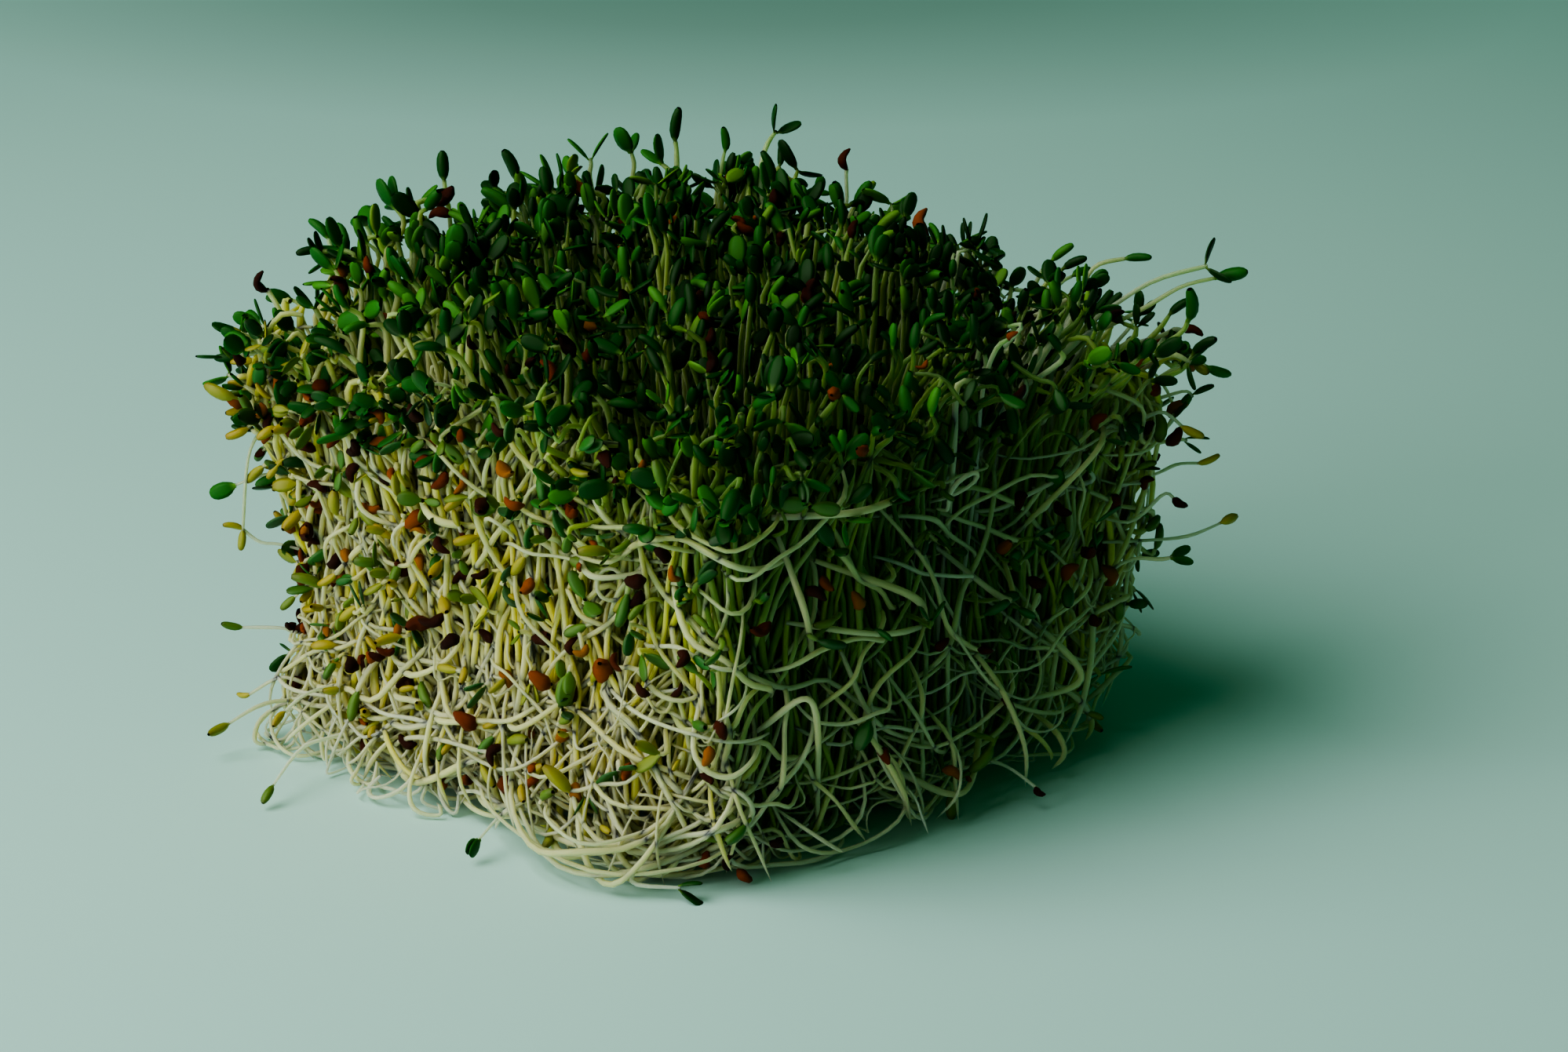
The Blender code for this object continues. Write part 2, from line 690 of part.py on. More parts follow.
def build():
    """Makes the eighteen solids."""
    for thing in list(bpy.data.objects):
        bpy.data.objects.remove(thing)
    draw = random.Random(11)
    middles = tuft_middles(draw)
    growths = canopy_heads(draw) + rim_heads(draw) + side_stems(draw) + tangles(draw)
    growths += drawn_strands() + side_beans(draw) + loose_sprouts(draw)
    for (row, column), middle in middles.items():
        walls = tuft_walls(middle, middles)
        parting = LEAF_FLOOR + draw.uniform(-FLOOR_SHIFT, FLOOR_SHIFT)
        stem_room = Room(walls, 0.2, parting - GAP / 2)
        leaf_room = Room(walls, parting + GAP / 2, 100.0)
        stem_block = inner_block(draw, (BODY_RISE[0], 10, 26, 42, stem_room.ceiling), STEM_INSET, None,
                                 lambda u, v: underside(draw, u, v))
        leaf_block = inner_block(draw, (leaf_room.floor, 64, 70), LEAF_INSET,
                                 lambda u, v: crown(u, v) - draw.uniform(*BODY_SINK), None)
        stem_body = cut_to_room(stem_block, stem_room)
        leaf_body = cut_to_room(leaf_block, leaf_room)
        stems, leaves = [], []
        own = [g for g in growths if nearest(g.root(), middles) == (row, column)]
        own += underside_roots(draw, middle)
        for growth in own:
            if growth.root().z > LEAF_FLOOR:
                leaves += growth.solids(leaf_room)
            else:
                stems += growth.solids(stem_room)
        name = f"r{row + 1}c{column + 1}"
        fuse(f"stems_{name}", stem_body, stems, colour(f"Stems {name}", STEM_COLOUR, 0.45))
        fuse(f"leaves_{name}", leaf_body, leaves, colour(f"Leaves {name}", LEAF_COLOUR, 0.5))


build()
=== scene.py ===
"""Pile of alfalfa sprouts: its sprouts one by one, its lights and its camera.

Every sprout is a thin stem that is rooted near the foot of the block and carries two seed leaves.
Stems, roots, leaves and seed coats are all the same kind of mesh, a tube swept along a curved path
with its own width and thickness, and each kind is made as one set of arrays for the whole block.
The pieces are then shared out over the nine tufts, by where each one is rooted.

Lengths are in millimetres from the block's axis until a piece is finished, and in metres after
that. +Z is up, -Y is the lit side and +X the shaded one.
"""
import math
import random

import bpy
import numpy as np
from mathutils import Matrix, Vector


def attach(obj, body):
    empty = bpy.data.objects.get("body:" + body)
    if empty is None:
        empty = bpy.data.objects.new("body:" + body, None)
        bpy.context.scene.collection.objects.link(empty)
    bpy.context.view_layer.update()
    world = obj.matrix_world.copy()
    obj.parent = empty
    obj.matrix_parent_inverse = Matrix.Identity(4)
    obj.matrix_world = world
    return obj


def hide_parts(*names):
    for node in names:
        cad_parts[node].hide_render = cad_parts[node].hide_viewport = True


MM = 0.001
DRAW = np.random.default_rng(29)

# The block, close to what its solids have
HALF = 51.5
SIDE_BOW = 0.05
CORNER_ROUND = 0.02
CROWN = 80.5
AXIS = (-0.5, 4.8)
OUTLINE = ((0, 0.97), (9, 1.0), (26, 0.975), (42, 0.985), (56, 1.03), (67, 1.07), (90, 1.03))
SWELLS = (
    ((-52, -50, 68), 16, 1.0),
    ((27, -52, 5), 15, 5.0),
    ((-49, -49, 2), 14, -1.0),
    ((50, -50, 0), 14, -5.0),
    ((51, 4, 46), 20, -4.0),
    ((51, -8, 22), 20, 2.0),
    ((49, 49, 0), 18, -7.0),
    ((-50, -50, 26), 14, -3.5),
    ((-52, 14, 36), 18, -3.0),
    ((-51, 24, 8), 16, 3.0),
    ((8, 52, 30), 22, -3.0),
    ((-20, 52, 12), 16, 3.0),
)
TUFT_SEED = 11
ROWS = 3
TUFT_PITCH = 33.0
TUFT_SHIFT = 3.5

# Strands that cross the front, as places along X and up it, and the right side, along Y and up it
FRONT_STRANDS = (
    ((-25, 54), (-23, 44), (-12, 40)),
    ((-15, 51), (-6, 46), (4, 45)),
    ((18, 47), (27, 44), (38, 46)),
    ((-26, 12), (-15, 3), (-1, 9), (6, 16)),
    ((-6, 6), (5, 4), (17, 9)),
    ((12, 8), (22, 2), (36, 9)),
    ((3, 20), (12, 18), (27, 31)),
    ((-14, 3), (2, 2), (12, 3)),
)
RIGHT_STRANDS = (
    ((-42, 54), (-30, 54), (-9, 50)),
    ((-40, 51), (-38, 41), (-30, 31)),
    ((-4, 30), (-16, 38), (-30, 45)),
    ((-4, 29), (-23, 34), (-36, 37)),
    ((38, 52), (27, 50), (18, 37)),
    ((0, 40), (9, 31), (16, 36)),
    ((-43, 22), (-36, 27), (-29, 5)),
    ((-16, 11), (-5, 5), (7, 12)),
    ((18, 27), (26, 15), (15, 12)),
    ((46, 20), (40, 24), (30, 20)),
)
# Sprouts that hang or stand clear of the block: root, bend, tip and what is at the tip
LOOSE_SPROUTS = (
    ((-44, -44, 56), (-50, -49, 62), (-54, -54, 61), "bean"),
    ((-43, -45, 57), (-50, -49, 65), (-54, -53, 64), "open"),
    ((-45, -43, 58), (-49, -48, 66), (-52, -51, 66), "open"),
    ((-40, -46, 50), (-47, -48, 58), (-52, -50, 57), "open"),
    ((-46, -38, 51), (-49, -45, 60), (-53, -49, 60), "bean"),
    ((-38, -44, 53), (-46, -48, 60), (-51, -52, 62), "bean"),
    ((-45, -41, 47), (-50, -47, 56), (-53, -51, 59), "coat"),
    ((-42, -40, 52), (-47, -46, 61), (-53, -52, 66), "bean"),
    ((-44, -44, 50), (-49, -49, 58), (-53, -53, 55), "bean"),
    ((-43, -45, 48), (-49, -49, 56), (-52, -52, 52), "bean"),
    ((-44, -44, 44), (-48, -48, 48), (-51, -51, 45), "coat"),
    ((-42, -44, 40), (-49, -49, 43), (-55, -54, 40), "open"),
    ((-44, -44, 38), (-47, -47, 43), (-50, -49, 41), "open"),
    ((-44, -44, 30), (-50, -50, 32), (-54, -53, 36), "bean"),
    ((-46, -46, 55), (-51, -51, 45), (-52, -52, 31), "bean"),
    ((-42, -44, 24), (-45, -45, 25), (-48, -48, 21), "bean"),
    ((-42, -44, 17), (-48, -48, 18), (-55, -54, 18), "bean"),
    ((-38, -44, 15), (-43, -47, 16), (-49, -49, 13), "open"),
    ((-36, -44, 10), (-46, -50, 11), (-53, -54, 6), "bean"),
    ((-41, -43, 5), (-45, -55, 8), (-49, -62, 4), "bean"),
    ((-30, -44, 6), (-30, -60, 6), (-26, -71, 2), "bean"),
    ((-30, -44, 12), (-33, -56, 13), (-35, -62, 9), "bean"),
    ((-52, -42, 66), (-54, -43, 70), (-54, -44, 74), "coat"),
    ((-48, -31, 68), (-53, -31, 75), (-55, -31, 80), "bean"),
    ((-48, -22, 70), (-53, -23, 76), (-55, -24, 81), "open"),
    ((-46, -12, 72), (-47, -12, 80), (-49, -11, 87), "bean"),
    ((-46, 6, 72), (-50, 6, 79), (-51, 7, 84), "bean"),
    ((-44, 19, 72), (-47, 20, 81), (-48, 20, 86), "open"),
    ((-42, 28, 72), (-45, 28, 80), (-47, 28, 86), "open"),
    ((-42, 37, 72), (-45, 38, 81), (-47, 39, 86), "bean"),
    ((-38, 43, 72), (-41, 45, 79), (-41, 47, 84), "bean"),
    ((-29, 43, 70), (-33, 47, 82), (-29, 48, 88), "open"),
    ((-16, 44, 70), (-17, 49, 79), (-17, 50, 84), "coat"),
    ((40, 36, 64), (47, 48, 72), (55, 57, 75), "open"),
    ((40, 40, 63), (50, 51, 71), (56, 58, 73), "bean"),
    ((30, 40, 65), (37, 46, 73), (43, 52, 75), "bean"),
    ((42, 42, 61), (49, 51, 64), (53, 54, 63), "coat"),
    ((44, 42, 57), (51, 52, 60), (55, 57, 56), "bean"),
    ((45, 40, 53), (52, 50, 55), (54, 53, 52), "open"),
    ((46, 38, 58), (53, 45, 62), (58, 49, 59), "open"),
    ((46, 36, 50), (52, 44, 53), (57, 47, 49), "bean"),
    ((45, 42, 44), (51, 50, 47), (53, 54, 46), "open"),
    ((46, 42, 40), (51, 50, 43), (55, 55, 43), "bean"),
    ((46, 38, 36), (53, 44, 40), (57, 46, 38), "coat"),
    ((46, 38, 32), (54, 50, 32), (57, 58, 34), "bean"),
    ((46, 36, 26), (54, 42, 30), (58, 45, 31), "open"),
    ((10, -44, 6), (10, -56, 5), (12, -65, 2), "open"),
    ((30, -46, 6), (37, -57, 2), (46, -52, 2), "open"),
    ((43, 8, 5), (54, 6, 6), (61, 8, 2), "coat"),
)

# By the place round the sides: how far the leaves hang down under the crown, and how far they reach out
HANG_PLACES = (0.0, 0.15, 0.5, 1.0, 1.3, 1.6, 1.85, 2.0, 2.3, 3.0, 3.5, 4.0)
HANG_DEPTHS = (33, 28, 18, 15, 16, 22, 33, 36, 24, 18, 24, 33)
HANG_REACHES = (-4, 1, 2, 2, 2, 2, 5, 6, 4, 2, 1, -4)
# and how far painted shade darkens the stems towards near-black green, most of all on the shaded side,
# from what height
SHADE_PLACES = (0.0, 0.4, 0.6, 0.85, 1.03, 1.7, 1.95, 2.4, 3.0, 4.0)
PAINTED_SHADES = (0.0, 0.15, 0.55, 0.85, 0.98, 0.96, 0.5, 0.3, 0.1, 0.0)
SHADE_FEET = (38, 36, 30, 16, -20, -20, 0, 20, 34, 38)

# How much of what grows round the sides is at each, from the front, in as many parts as are given
UPRIGHT_SHARES = (1.35, 0.45, 0.62, 0.76)
STRAND_SHARES = (1.0, 0.46, 0.60, 0.72)
ROOT_SHARES = (1.0, 0.14, 0.62, 0.76)
CAUGHT_SHARES = (1.2, 1.05, 0.95, 0.6, 0.2, 0.2, 0.25, 0.3, 0.5, 0.5, 0.5, 0.5, 0.7, 0.7, 0.7, 0.9)
RIM_SHARES = (0.8, 1.0, 0.5, 0.3, 0.2, 0.2, 0.2, 0.3, 0.2, 0.2, 0.2, 0.2, 0.3, 0.3, 0.5, 0.7)

# Strands that wind over the sides, by kind: how many, the heights of their middles, their lengths,
# how far they lean from upright and how far they turn in all, in radians and towards the same hand,
# how much they waver, how far they stand out of the side, their widths, how much of the place's painted
# shade they take, the part of the kinds that they come from, where the last is amber, their tones, and how
# far their ends sink in
STRANDS = (
    # The deepest layer: amber, partly its own colour and partly a painted glow of light passing through
    # the stems, and in the brightest tones as painted light
    dict(count=380, heights=(12, 54), lengths=(34, 62), lean=(-0.30, 0.30), turn=(-0.5, 0.5),
         waver=0.22, out=(-3.2, -1.0), widths=(1.0, 1.6), shares=UPRIGHT_SHARES, shade_range=(0.85, 1.0),
         kinds=(0.6, 1.0), tones=(5, 6), sink=2.0),
    dict(count=380, heights=(18, 52), lengths=(26, 54), lean=(-0.28, 0.28), turn=(-0.7, 0.7),
         waver=0.26, out=(-2.0, 0.7), widths=(0.7, 1.25), shares=UPRIGHT_SHARES, shade_range=(0.7, 1.0),
         kinds=(0.3, 1.0), tones=(2, 5), sink=3.5),
    dict(count=330, heights=(12, 56), lengths=(18, 44), lean=(0.1, 0.9), turn=(-1.4, 1.4),
         waver=0.32, out=(-2.0, 1.6), widths=(0.55, 1.1), shade_range=(0.0, 0.9), kinds=(0.1, 0.65),
         tones=(0, 4)),
    dict(count=130, heights=(14, 56), lengths=(18, 44), lean=(0.7, 1.7), turn=(-1.8, 1.2),
         waver=0.30, out=(-0.8, 2.2), widths=(0.55, 1.05), shade_range=(0.0, 0.5), kinds=(0.05, 0.5),
         tones=(0, 4)),
    dict(count=230, heights=(3, 26), lengths=(20, 52), lean=(1.0, 1.9), turn=(-2.6, 0.4),
         waver=0.30, out=(-2.0, 2.8), widths=(0.5, 1.05), shade_range=(0.0, 0.6), kinds=(0.1, 0.55),
         tones=(1, 5)),
    dict(count=240, heights=(1, 30), lengths=(10, 32), lean=(0.2, 2.6), turn=(-2.4, 2.4),
         waver=0.70, out=(-1.5, 2.4), widths=(0.25, 0.6), shares=ROOT_SHARES, shade_range=(0.0, 0.6),
         kinds=(0.1, 0.7), tones=(1, 5)),
    dict(count=18, heights=(10, 58), lengths=(14, 22), lean=(0.0, 3.0), turn=(5.6, 7.4),
         waver=0.10, out=(0.8, 2.2), widths=(0.6, 0.95), shade_range=(0.0, 0.4), kinds=(0.0, 0.5),
         tones=(0, 2)),
)

# How many of each other kind of stem and root
CANOPY_ROWS = 39            # upright sprouts across the block, each way
CLUMPS = 110                # that lean together
FOOT_ENDS = 90
FLOOR_CURLS = 22
SWIRL_ROOTS = 12
UNDER_ROOTS = 260

# What is caught among the side stems, and the leaves at the crown's rim: how many, between what
# heights, how much they crowd upwards, how far out they reach, how far above its root each one's tip
# is, and how much of them is at each part of the way round
SIDE_BEANS = dict(count=300, low=4, high=61, rise=0.9, reach=1.0)
SIDE_HEADS = dict(count=250, low=10, high=67, rise=0.6, reach=1.2)
SIDE_COATS = dict(count=300, low=2, high=63, rise=0.9, reach=1.1)
RIM_LEAVES = dict(count=130, low=52, high=70, rise=1.0, reach=0.5, fall=(3, 12), shares=RIM_SHARES)

LOW_SPROUTS = 56            # loose sprouts that are rooted lower than this have small leaves

# The camera: its lens in millimetres, its angles in degrees and its distances in metres
LENS = 85.0
CAMERA_TURN = 42.5          # round from -Y towards +X
CAMERA_RISE = 17.3
CAMERA_DISTANCE = 0.575
CAMERA_SIDE = 0.0104        # its target, to the right of the block's axis
CAMERA_TARGET = 0.0337      # and above the floor

# The lamps: each one's place from where they all point, how wide it is and its power
LAMPS = (
    ("Key", (-0.30, -0.62, 0.86), 0.95, 8.6),
    ("Fill", (-0.14, -1.08, 0.20), 0.7, 6.1),
)
LAMP_AIM = 0.04             # the height that they point at
LAMP_COLOUR = (1.0, 0.98, 0.92)
SURROUND_COLOUR = (0.13, 1.0, 0.48, 1)
SURROUND_STRENGTH = 0.086

# The floor, and the middle of a patch of painted shade on it behind the block
FLOOR_HALF = 6.0
FLOOR_SHADE_PATCH = (-0.52, 0.56, 0.0)

RIPE_HEIGHT = 108           # the height at which the scale of a stem's colour would end
UV_CELLS = 64               # colour strips across a piece's UV map
UV_MARGIN = 0.1             # the part of a strip that stays free at each edge of it
KINDS_REPEAT = 7            # how often the kinds of stem come round in the draws, once for each tone
FIRST_SIDE = (0.31, 0.52, 0.79)     # where the first ring of a tube starts, off every axis


def lerp(low, high, t):
    """The value a share of the way from one to another."""
    return low + (high - low) * t


def uniform(low, high, *shape):
    """Even draws between two values."""
    return DRAW.uniform(low, high, shape)


def unit(vectors):
    """Vectors at length one."""
    length = np.linalg.norm(vectors, axis=-1, keepdims=True)
    return vectors / np.maximum(length, 1e-9)


def outline(z):
    """How wide the block is at some heights, against its foot."""
    levels = np.array([level for level, _ in OUTLINE], float)
    widths = np.array([width for _, width in OUTLINE], float)
    k = np.clip(np.searchsorted(levels, z) - 1, 0, len(levels) - 2)
    t = np.clip((z - levels[k]) / (levels[k + 1] - levels[k]), 0, 1)
    return lerp(widths[k], widths[k + 1], t * t * (3 - 2 * t))


def place(u, v, z):
    """Points of the block: u along X and v along Y run from -1 to 1, side to side."""
    u, v, z = np.broadcast_arrays(np.asarray(u, float), np.asarray(v, float), np.asarray(z, float))
    half = HALF * outline(z) * (1 - CORNER_ROUND * (u * v) ** 4)
    x = half * u * np.sqrt(1 - SIDE_BOW * v * v)
    y = half * v * np.sqrt(1 - SIDE_BOW * u * u)
    points = np.stack([x, y, z], axis=-1)
    swell = np.zeros(x.shape)
    for centre, reach, height in SWELLS:
        away = np.sum((points - np.array(centre, float)) ** 2, axis=-1)
        swell += height * np.exp(-away / reach ** 2)
    grow = 1 + swell / HALF
    return points * np.stack([grow, grow, np.ones(x.shape)], axis=-1)


def crown(u, v):
    """Height of the leaf tips: a low dome that falls away to the right."""
    lumps = 1.3 * np.sin(5.1 * u + 1.3) * np.sin(4.3 * v + 0.4)
    hollow = 6.0 * np.exp(-((u - 0.25) ** 2 + (v - 1) ** 2) / 0.2) + 4.0 * (u * v) ** 4
    return CROWN + lumps - hollow - 4.5 * u + 1.5 * v - 2.2 * u * u - 3.0 * v * v


def around(s):
    """The u and v of places on the sides: s runs from 0 to 4, one for each side, from the front."""
    s = np.asarray(s, float) % 4
    side = s.astype(int)
    t = 2 * (s % 1) - 1
    one = np.ones(s.shape)
    u = np.choose(side, [t, one, -t, -one])
    v = np.choose(side, [-one, t, one, -t])
    return u, v


def place_round(u, v):
    """Where a place of the block comes round its sides, from 0 to 4."""
    flat = np.abs(v) >= np.abs(u)
    return np.where(flat, np.where(v < 0, (u + 1) / 2, 2 + (1 - u) / 2),
                    np.where(u > 0, 1 + (v + 1) / 2, 3 + (1 - v) / 2))


def painted_shade_at(s, z):
    """Painted shade: how far the deeper stems are darkened towards near-black green at some places round
    the sides and heights.
    """
    feet = np.interp(s, SHADE_PLACES, SHADE_FEET)
    return np.interp(s, SHADE_PLACES, PAINTED_SHADES) * np.clip((z - feet) / 28, 0, 1)


def tuned(low, high, shade):
    """Where stems start and end on the scale of colour, by their heights and by the painted shade that
    darkens them towards near-black green.
    """
    return lerp(low / RIPE_HEIGHT, 0.98, shade), lerp(high / RIPE_HEIGHT, 0.98, shade)


def of_kind(count, low, high, tones=(0, 6)):
    """Draws for stems from one part of the range of kinds, in tones that run from 0, dim, to 6, bright."""
    tone = DRAW.integers(tones[0], tones[1] + 1, count)
    return (tone + uniform(low, high, count)) / KINDS_REPEAT


def side_places(count, shares):
    """Places round the sides, by how much each part of the way round is to have."""
    marks = np.concatenate([[0.0], np.cumsum(shares)]) / np.sum(shares)
    spots = np.linspace(0, 4, len(shares) + 1)
    return np.interp((np.arange(count) + uniform(0, 1, count)) / count, marks, spots)


def outward(u, v):
    """The level direction away from the block."""
    return unit(np.stack([u ** 5, v ** 5, np.zeros(u.shape)], axis=-1))


def on_side(s, z, out):
    """Points that stand out from the block's sides."""
    u, v = around(s)
    return place(u, v, z) + outward(u, v) * np.asarray(out, float)[..., None]


def curve_shares(controls, steps):
    """How much each control point counts at each step of a smooth curve through them all."""
    shares = np.zeros((steps, controls))
    for i in range(steps):
        spot = i / (steps - 1) * (controls - 1)
        k = min(int(spot), controls - 2)
        t = spot - k
        near = ((2 * t ** 2 - t - t ** 3) / 2, (2 - 5 * t ** 2 + 3 * t ** 3) / 2,
                (t + 4 * t ** 2 - 3 * t ** 3) / 2, (t ** 3 - t ** 2) / 2)
        for j, share in zip(range(k - 1, k + 3), near):
            if j < 0:
                shares[i, 0] += 2 * share
                shares[i, 1] -= share
            elif j >= controls:
                shares[i, -1] += 2 * share
                shares[i, -2] -= share
            else:
                shares[i, j] += share
    return shares


def curves(controls, steps):
    """Smooth paths through a few points each."""
    controls = np.stack(controls, axis=1)
    return np.einsum("mc,ncd->nmd", curve_shares(controls.shape[1], steps), controls)


class Batch:
    """Many swept shapes of one kind: paths, half widths, half thicknesses and colour draws."""

    def __init__(self, paths, widths, depths, sides, draws, along=None, across=None):
        self.paths = paths
        count, steps = paths.shape[:2]
        self.widths = np.broadcast_to(widths, (count, steps))
        self.depths = np.broadcast_to(depths, (count, steps))
        self.sides = sides
        self.draws = np.asarray(draws, float)
        if along is None:
            along = np.linspace(0, 1, steps)
        self.along = np.broadcast_to(along, (count, steps))
        self.across = across

    def part(self, chosen):
        """The same kind, for some of its shapes."""
        across = None if self.across is None else self.across[chosen]
        return Batch(self.paths[chosen], self.widths[chosen], self.depths[chosen], self.sides,
                     self.draws[chosen], self.along[chosen], across)

    def mesh_arrays(self):
        """Points, corner lists of its four-sided faces, and an along, a draw and a UV for each."""
        count, steps = self.paths.shape[:2]
        ways = unit(np.gradient(self.paths, axis=1))
        if self.across is None:
            side = np.broadcast_to(np.array(FIRST_SIDE), (count, 3))
        else:
            side = self.across
        rings = np.zeros((count, steps, self.sides, 3))
        turns = np.arange(self.sides) * math.tau / self.sides
        for m in range(steps):
            way = ways[:, m]
            side = unit(side - way * np.sum(side * way, axis=-1, keepdims=True))
            other = np.cross(way, side)
            spokes = (side[:, None] * np.cos(turns)[:, None] * self.widths[:, m, None, None]
                      + other[:, None] * np.sin(turns)[:, None] * self.depths[:, m, None, None])
            rings[:, m] = self.paths[:, m, None] + spokes
        points = rings.reshape(-1, 3)
        n, m, k = np.meshgrid(np.arange(count), np.arange(steps - 1), np.arange(self.sides),
                              indexing="ij")
        here = (n * steps + m) * self.sides
        nxt = (k + 1) % self.sides
        faces = np.stack([here + k, here + nxt, here + self.sides + nxt, here + self.sides + k],
                         axis=-1).reshape(-1, 4)
        draws = np.repeat(self.draws, steps * self.sides)
        along = np.repeat(self.along.reshape(-1), self.sides)
        strip = np.floor(self.draws * UV_CELLS * 0.999)[:, None, None]
        share = (1 - 2 * UV_MARGIN) / self.sides
        left = (strip + UV_MARGIN + share * k) / UV_CELLS
        right = (strip + UV_MARGIN + share * (k + 1)) / UV_CELLS
        low = self.along[n, m]
        high = self.along[n, m + 1]
        uvs = np.stack([np.stack([left, low], -1), np.stack([right, low], -1),
                        np.stack([right, high], -1), np.stack([left, high], -1)], axis=3)
        return points, faces, along, draws, uvs.reshape(-1, 2)


def blunt(steps):
    """Places along a blade, closer together towards its ends."""
    t = np.linspace(0, 1, steps)
    return lerp(t, (1 - np.cos(math.pi * t)) / 2, 0.7)


def rounded(t, base):
    """Widths along a blade: narrow at its base, full past its middle, and round at its tip."""
    body = np.clip(1 - np.abs((t - 0.56) / 0.46) ** 2.6, 0.0, 1) ** 0.5
    return np.where(t < 0.5, np.maximum(body, base), np.maximum(body, 0.03))


def tilted(direction, spread):
    """Directions turned a random way off some others."""
    noise = unit(DRAW.normal(size=direction.shape))
    return unit(direction + noise * spread[:, None])


def perpendicular(direction):
    """A random direction at right angles to each."""
    noise = DRAW.normal(size=direction.shape)
    return unit(np.cross(direction, noise))


def blades(bases, ways, facing, length, width, thickness, curl, draws):
    """Seed leaves: spoon-shaped blades that curl towards the way they face."""
    places = blunt(8)
    t = places[None, :, None]
    bow = (length * curl)[:, None, None] * t ** 2
    paths = bases[:, None] + ways[:, None] * (t * length[:, None, None]) + facing[:, None] * bow
    shape = rounded(places, 0.3)
    thickness = np.broadcast_to(thickness, length.shape)
    return Batch(paths, shape * width[:, None] / 2, shape ** 0.7 * thickness[:, None] / 2, 6, draws,
                 along=places, across=np.cross(ways, facing))


def open_pairs(tips, ways, draws, size):
    """Two seed leaves at each tip, parted in a V."""
    across = perpendicular(ways)
    count = len(tips)
    spread = lerp(0.12, 1.45, uniform(0, 1, count) ** 1.3)
    pair = []
    for sign in (-1, 1):
        part = (spread + uniform(-0.15, 0.15, count))[:, None]
        reach = ways * np.cos(part) + across * np.sin(part) * sign
        facing = ways * np.sin(part) - across * np.cos(part) * sign
        length = uniform(3.8, 5.4, count) * size
        pair.append(blades(tips + across * sign * 0.25, reach, facing, length,
                           length * uniform(0.46, 0.64, count), 0.6 * size,
                           uniform(-0.15, 0.25, count), draws))
    return pair


def shut_pairs(tips, ways, draws, size, plump=1.0):
    """Two seed leaves still pressed together, as a plump bean that bends over to one side."""
    count = len(tips)
    facing = perpendicular(ways)
    length = uniform(3.8, 5.4, count) * size
    return blades(tips, ways, facing, length, length * uniform(0.36, 0.48, count) * plump,
                  length * uniform(0.28, 0.37, count) * plump, uniform(0.05, 0.65, count), draws)


def coats(tips, ways, draws, size):
    """Seed coats: short kidney shapes."""
    count = len(tips)
    steps = 7
    facing = perpendicular(ways)
    length = uniform(2.2, 3.6, count) * size
    t = np.linspace(0, 1, steps)
    bow = (uniform(0.1, 0.45, count) * length)[:, None] * np.sin(math.pi * t)
    paths = tips[:, None] + ways[:, None] * (t[None, :, None] * length[:, None, None])
    paths = paths + facing[:, None] * bow[:, :, None]
    shape = np.sqrt(np.clip(1 - (2 * t - 1) ** 2, 0.05, 1)) * (1 + 0.15 * np.sin(7 * t))
    width = length * uniform(0.26, 0.38, count)
    return Batch(paths, shape * width[:, None], shape * width[:, None] * uniform(0.5, 0.9, count)[:, None],
                 6, draws, across=np.cross(ways, facing))


def strand_batch(paths, width, sides, taper=0.75, along=(0.0, 1.0), draws=None):
    """Stems along some paths, a little thinner at their ends."""
    count, steps = paths.shape[:2]
    if draws is None:
        draws = of_kind(count, 0.15, 0.85)
    t = np.linspace(0, 1, steps)
    shape = 1 - (1 - taper) * (2 * t - 1) ** 4
    swell = 1 + 0.10 * np.sin(t[None] * uniform(4, 14, count)[:, None] + uniform(0, 6, count)[:, None])
    widths = shape * swell * (np.broadcast_to(width, (count,)) / 2)[:, None]
    start, end = (np.broadcast_to(np.asarray(a, float), (count,))[:, None] for a in along)
    return Batch(paths, widths, widths * 0.92, sides, draws, lerp(start, end, t[None]))


def softened(paths, rounds):
    """Paths with their bends eased, between ends that stay."""
    for _ in range(rounds):
        paths[:, 1:-1] = (paths[:, :-2] + 2 * paths[:, 1:-1] + paths[:, 2:]) / 4
    return paths


def stem_batch(controls, steps, width, sides, taper=0.75, along=(0.0, 1.0), draws=None):
    """Stems through a few points each."""
    return strand_batch(softened(curves(controls, steps), 1), width, sides, taper, along, draws)


